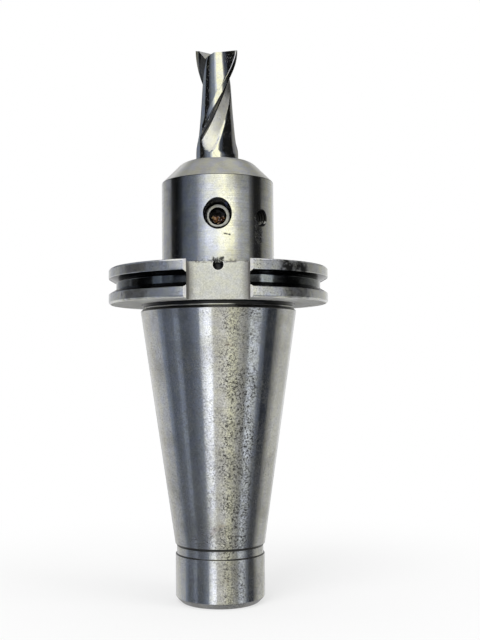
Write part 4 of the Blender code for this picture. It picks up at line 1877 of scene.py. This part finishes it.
LOWER_CARDS = (
    Card(-180, -166, 0.10, 0.10),
    Card(-166, -150, 0.80, 0.80),
    Card(-150, -122, 0.80, 0.66, (1.0, 1.0, 0.98)),
    Card(-122, -100, 0.64, 0.48, (0.97, 1.0, 1.05)),
    Card(-100, -88, 0.38, 0.18, COOL),
    Card(-88, -70, 0.14, 0.20, COOL),
    Card(-70, -60, 0.34, 0.28, COOL),
    Card(-60, -44, 0.12, 0.14, COOL),
    Card(-44, -28, 0.15, 0.32, COOL),
    Card(-28, -20, 0.95, 1.35, (0.96, 1.0, 1.06)),
    Card(-20, -10, 1.65, 1.75, (0.97, 1.0, 1.05)),
    Card(-10, 14, 0.76, 1.05, (1.02, 1.01, 0.92)),
    Card(14, 30, 1.10, 0.66, WARM),
    Card(30, 44, 0.64, 0.36, (1.0, 1.0, 0.92)),
    Card(44, 48, 0.36, 0.60, (0.94, 1.0, 1.06)),
    Card(48, 56, 1.05, 0.95, (0.94, 1.0, 1.07)),
    Card(56, 66, 0.84, 0.66, (0.94, 1.0, 1.07)),
    Card(66, 76, 0.26, 0.10, COOL),
    Card(76, 94, 0.03, 0.06, COOL),
    Card(94, 112, 0.18, 0.60, (1.0, 1.0, 0.94)),
    Card(112, 150, 0.63, 0.70, (1.0, 1.0, 0.94)),
    Card(150, 166, 0.85, 0.90),
    Card(166, 180, 0.10, 0.10),
)


@dataclass(frozen=True)
class CardGlow:
    """The glow of one panel, which fades from one side to the other."""

    name: str
    card: Card

    def material(self) -> bpy.types.Material:
        """Make the material.

        Returns:
            A glow without shading.
        """
        graph = Graph(self.name)
        card = self.card
        share = graph.signal(graph.node("ShaderNodeMapRange", {}, {
            "Value": graph.around(), "From Min": math.radians(card.left),
            "From Max": math.radians(card.right), "To Min": card.glow_left,
            "To Max": card.glow_right}))
        glow = graph.node("ShaderNodeEmission", {}, {
            "Color": (*(part / max(card.tint) for part in card.tint), 1.0),
            "Strength": share * max(card.tint)})
        graph.tree.links.new(glow.outputs[0], graph.output.inputs["Surface"])
        return graph.material


@dataclass
class Studio:
    """A pale floor, soft lamps, panels for the steel to mirror, and the camera."""

    card_distance: float = 0.75
    card_levels: tuple[float, float, float, float] = (-1.9, 0.12, 0.345, 1.3)
    bench_radius: float = 0.06
    bench_drop: float = 0.02
    bench_glow: float = 0.34
    shade_strength: float = 0.70
    aim_height: float = 0.12
    focal_pixels: float = 966.6
    frame_pixels: int = 640
    camera_distance: float = 0.4358
    camera_height: float = 0.1033
    camera_pitch: float = 0.049
    camera_roll: float = -0.007586
    axis_offset_pixels: float = 21.5

    def make_floor(self) -> None:
        """Lay a pale floor that keeps the shadow and fades to white further out."""
        floor = begin("studio_floor", bpy.ops.mesh.primitive_plane_add, size=6.0)
        graph = Graph("pale_floor")
        paper = graph.node("ShaderNodeBsdfDiffuse", {}, {"Color": (0.88, 0.88, 0.88, 1.0)})
        white = graph.node("ShaderNodeEmission", {}, {"Strength": 1.0})
        seen = graph.signal(graph.node("ShaderNodeLightPath"), "Is Camera Ray")
        far = graph.step(graph.from_axis(), 0.03, 0.26) * 0.45 + 0.55
        mix = graph.node("ShaderNodeMixShader", {}, {0: seen * far})
        graph.tree.links.new(paper.outputs[0], mix.inputs[1])
        graph.tree.links.new(white.outputs[0], mix.inputs[2])
        graph.tree.links.new(mix.outputs[0], graph.output.inputs["Surface"])
        floor.data.materials.append(graph.material)
        floor.visible_glossy = False

    def make_cards(self) -> None:
        """Stand the panels round the holder, where only the steel's reflections see them."""
        rows = (
            ("lower_cards", LOWER_CARDS), ("upper_cards", UPPER_CARDS), ("top_cards", TOP_CARDS))
        for (name, cards), bottom, top in zip(rows, self.card_levels, self.card_levels[1:]):
            wall = begin(
                name, bpy.ops.mesh.primitive_cylinder_add, vertices=360,
                radius=self.card_distance, depth=top - bottom,
                location=(0.0, 0.0, (top + bottom) / 2), end_fill_type="NOTHING")
            settle(wall)
            for number, card in enumerate(cards):
                dress(wall, CardGlow(f"{name}_{number:02d}", card), card.covers)
            self.show_to_steel(wall)
        bench = begin(
            "dark_bench", bpy.ops.mesh.primitive_circle_add, radius=self.bench_radius,
            fill_type="NGON", location=(0.0, 0.0, -self.bench_drop))
        settle(bench)
        dress(bench, CardGlow("bench_glow", Card(-180, 180, self.bench_glow, self.bench_glow)))
        self.show_to_steel(bench)

    def show_to_steel(self, panel: bpy.types.Object) -> None:
        """Hide a panel from all but reflections.

        Args:
            panel: The panel.
        """
        panel.visible_camera = panel.visible_diffuse = False
        panel.visible_transmission = panel.visible_shadow = False

    def make_world(self) -> None:
        """Light everything softly, with white behind for the camera and the steel."""
        world = bpy.data.worlds.new("studio_world")
        bpy.context.scene.world = world
        world.use_nodes = True
        tree = world.node_tree
        background = tree.nodes["Background"]
        background.inputs["Color"].default_value = (1.0, 1.0, 1.0, 1.0)
        path = tree.nodes.new("ShaderNodeLightPath")
        seen = None
        for ray in ("Is Camera Ray", "Is Glossy Ray", "Is Transmission Ray"):
            either = tree.nodes.new("ShaderNodeMath")
            either.operation = "MAXIMUM"
            either.inputs[1].default_value = 0.0
            tree.links.new(path.outputs[ray], either.inputs[0])
            if seen is not None:
                tree.links.new(seen, either.inputs[1])
            seen = either.outputs[0]
        strength = tree.nodes.new("ShaderNodeMapRange")
        strength.inputs["To Min"].default_value = self.shade_strength
        tree.links.new(seen, strength.inputs["Value"])
        tree.links.new(strength.outputs[0], background.inputs["Strength"])

    def make_lamps(self) -> None:
        """Hang one broad soft lamp in front and a weaker one at the right."""
        for name, place, size, power in (
            ("front_lamp", (-0.5, -0.9, 1.1), 0.8, 9.0),
            ("side_lamp", (0.9, -0.5, 0.8), 0.6, 3.5),
        ):
            lamp = begin(name, bpy.ops.object.light_add, type="AREA", location=place)
            lamp.data.size = size
            lamp.data.energy = power
            aim = Vector((0.0, 0.0, self.aim_height)) - lamp.location
            lamp.rotation_euler = aim.to_track_quat("-Z", "Y").to_euler()
            lamp.visible_glossy = False

    def make_camera(self) -> None:
        """Stand the camera where the photograph was taken from."""
        data = bpy.data.cameras.new("photo_camera")
        data.sensor_width = 36.0
        data.lens = self.focal_pixels * data.sensor_width / self.frame_pixels
        data.shift_x = self.axis_offset_pixels / self.frame_pixels
        data.clip_start = 0.01
        camera = bpy.data.objects.new("photo_camera", data)
        bpy.context.scene.collection.objects.link(camera)
        turned = Matrix.Rotation(math.radians(90) + self.camera_pitch, 4, "X")
        turned = turned @ Matrix.Rotation(self.camera_roll, 4, "Z")
        place = Matrix.Translation((0.0, -self.camera_distance, self.camera_height))
        camera.matrix_world = place @ turned
        bpy.context.scene.camera = camera

    def build(self) -> None:
        """Set the studio up."""
        self.make_floor()
        self.make_cards()
        self.make_world()
        self.make_lamps()
        self.make_camera()
        bpy.context.scene.view_settings.view_transform = "Standard"


def add_piece(maker: object, body: str, stands_for: Iterable[str] = ()) -> None:
    """Build and dress one piece, and tie it to the frame.

    Args:
        maker: The sub-assembly, which has methods build and dress.
        body: The CAD body that it rides on.
        stands_for: The CAD nodes that it replaces.
    """
    piece = maker.build()
    maker.dress(piece)
    shade(piece)
    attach(piece, body)
    if stands_for:
        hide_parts(*stands_for)
    piece.data.calc_loop_triangles()
    LOG.info("%s: %d triangles", piece.name, len(piece.data.loop_triangles))


def main() -> None:
    """Build every piece, then the studio."""
    screw_steel = dict(
        colour=(0.62, 0.615, 0.58), line_share=0.10, speck_share=0.22, rust_share=0.10, haze=0.3)
    lock_screw = SetScrew(
        "lock_set_screw", radius=0.00545, length=0.00794, pitch=SCREW_PITCH, head_chamfer=0.0004,
        tip_chamfer=0.00125, across_flats=0.00635, key_depth=0.005, angle=0.0,
        distance=FLAT_DISTANCE + FIT_GAP, height=LOCK_SCREW_Z,
        finish=SteelFinish("lock_screw_steel", roughness=0.38, lay=Lay.EVEN, **screw_steel))
    side_screw = SetScrew(
        "side_set_screw", radius=0.00305, length=0.0095, pitch=SIDE_SCREW_PITCH,
        head_chamfer=0.0003, tip_chamfer=0.0008, across_flats=0.00318, key_depth=0.004,
        angle=SIDE_SCREW_ANGLE, distance=SHANK_RADIUS + FIT_GAP, height=SIDE_SCREW_Z,
        finish=SteelFinish("side_screw_steel", roughness=0.36, lay=Lay.EVEN, **screw_steel))
    add_piece(TurnedHolder(), "holder", ["holder_body"])
    add_piece(GroundEndMill(), "holder", ["end_mill"])
    add_piece(lock_screw, "lock_screw_travel", ["lock_screw"])
    add_piece(side_screw, "side_screw_travel", ["side_screw"])
    add_piece(SocketDebris(), "lock_screw_travel")
    Studio().build()
    LOG.info("studio: floor, cards, lamps and camera")


if __name__ == "__main__":
    logging.basicConfig(level=logging.INFO, format="%(name)s %(message)s")
    main()
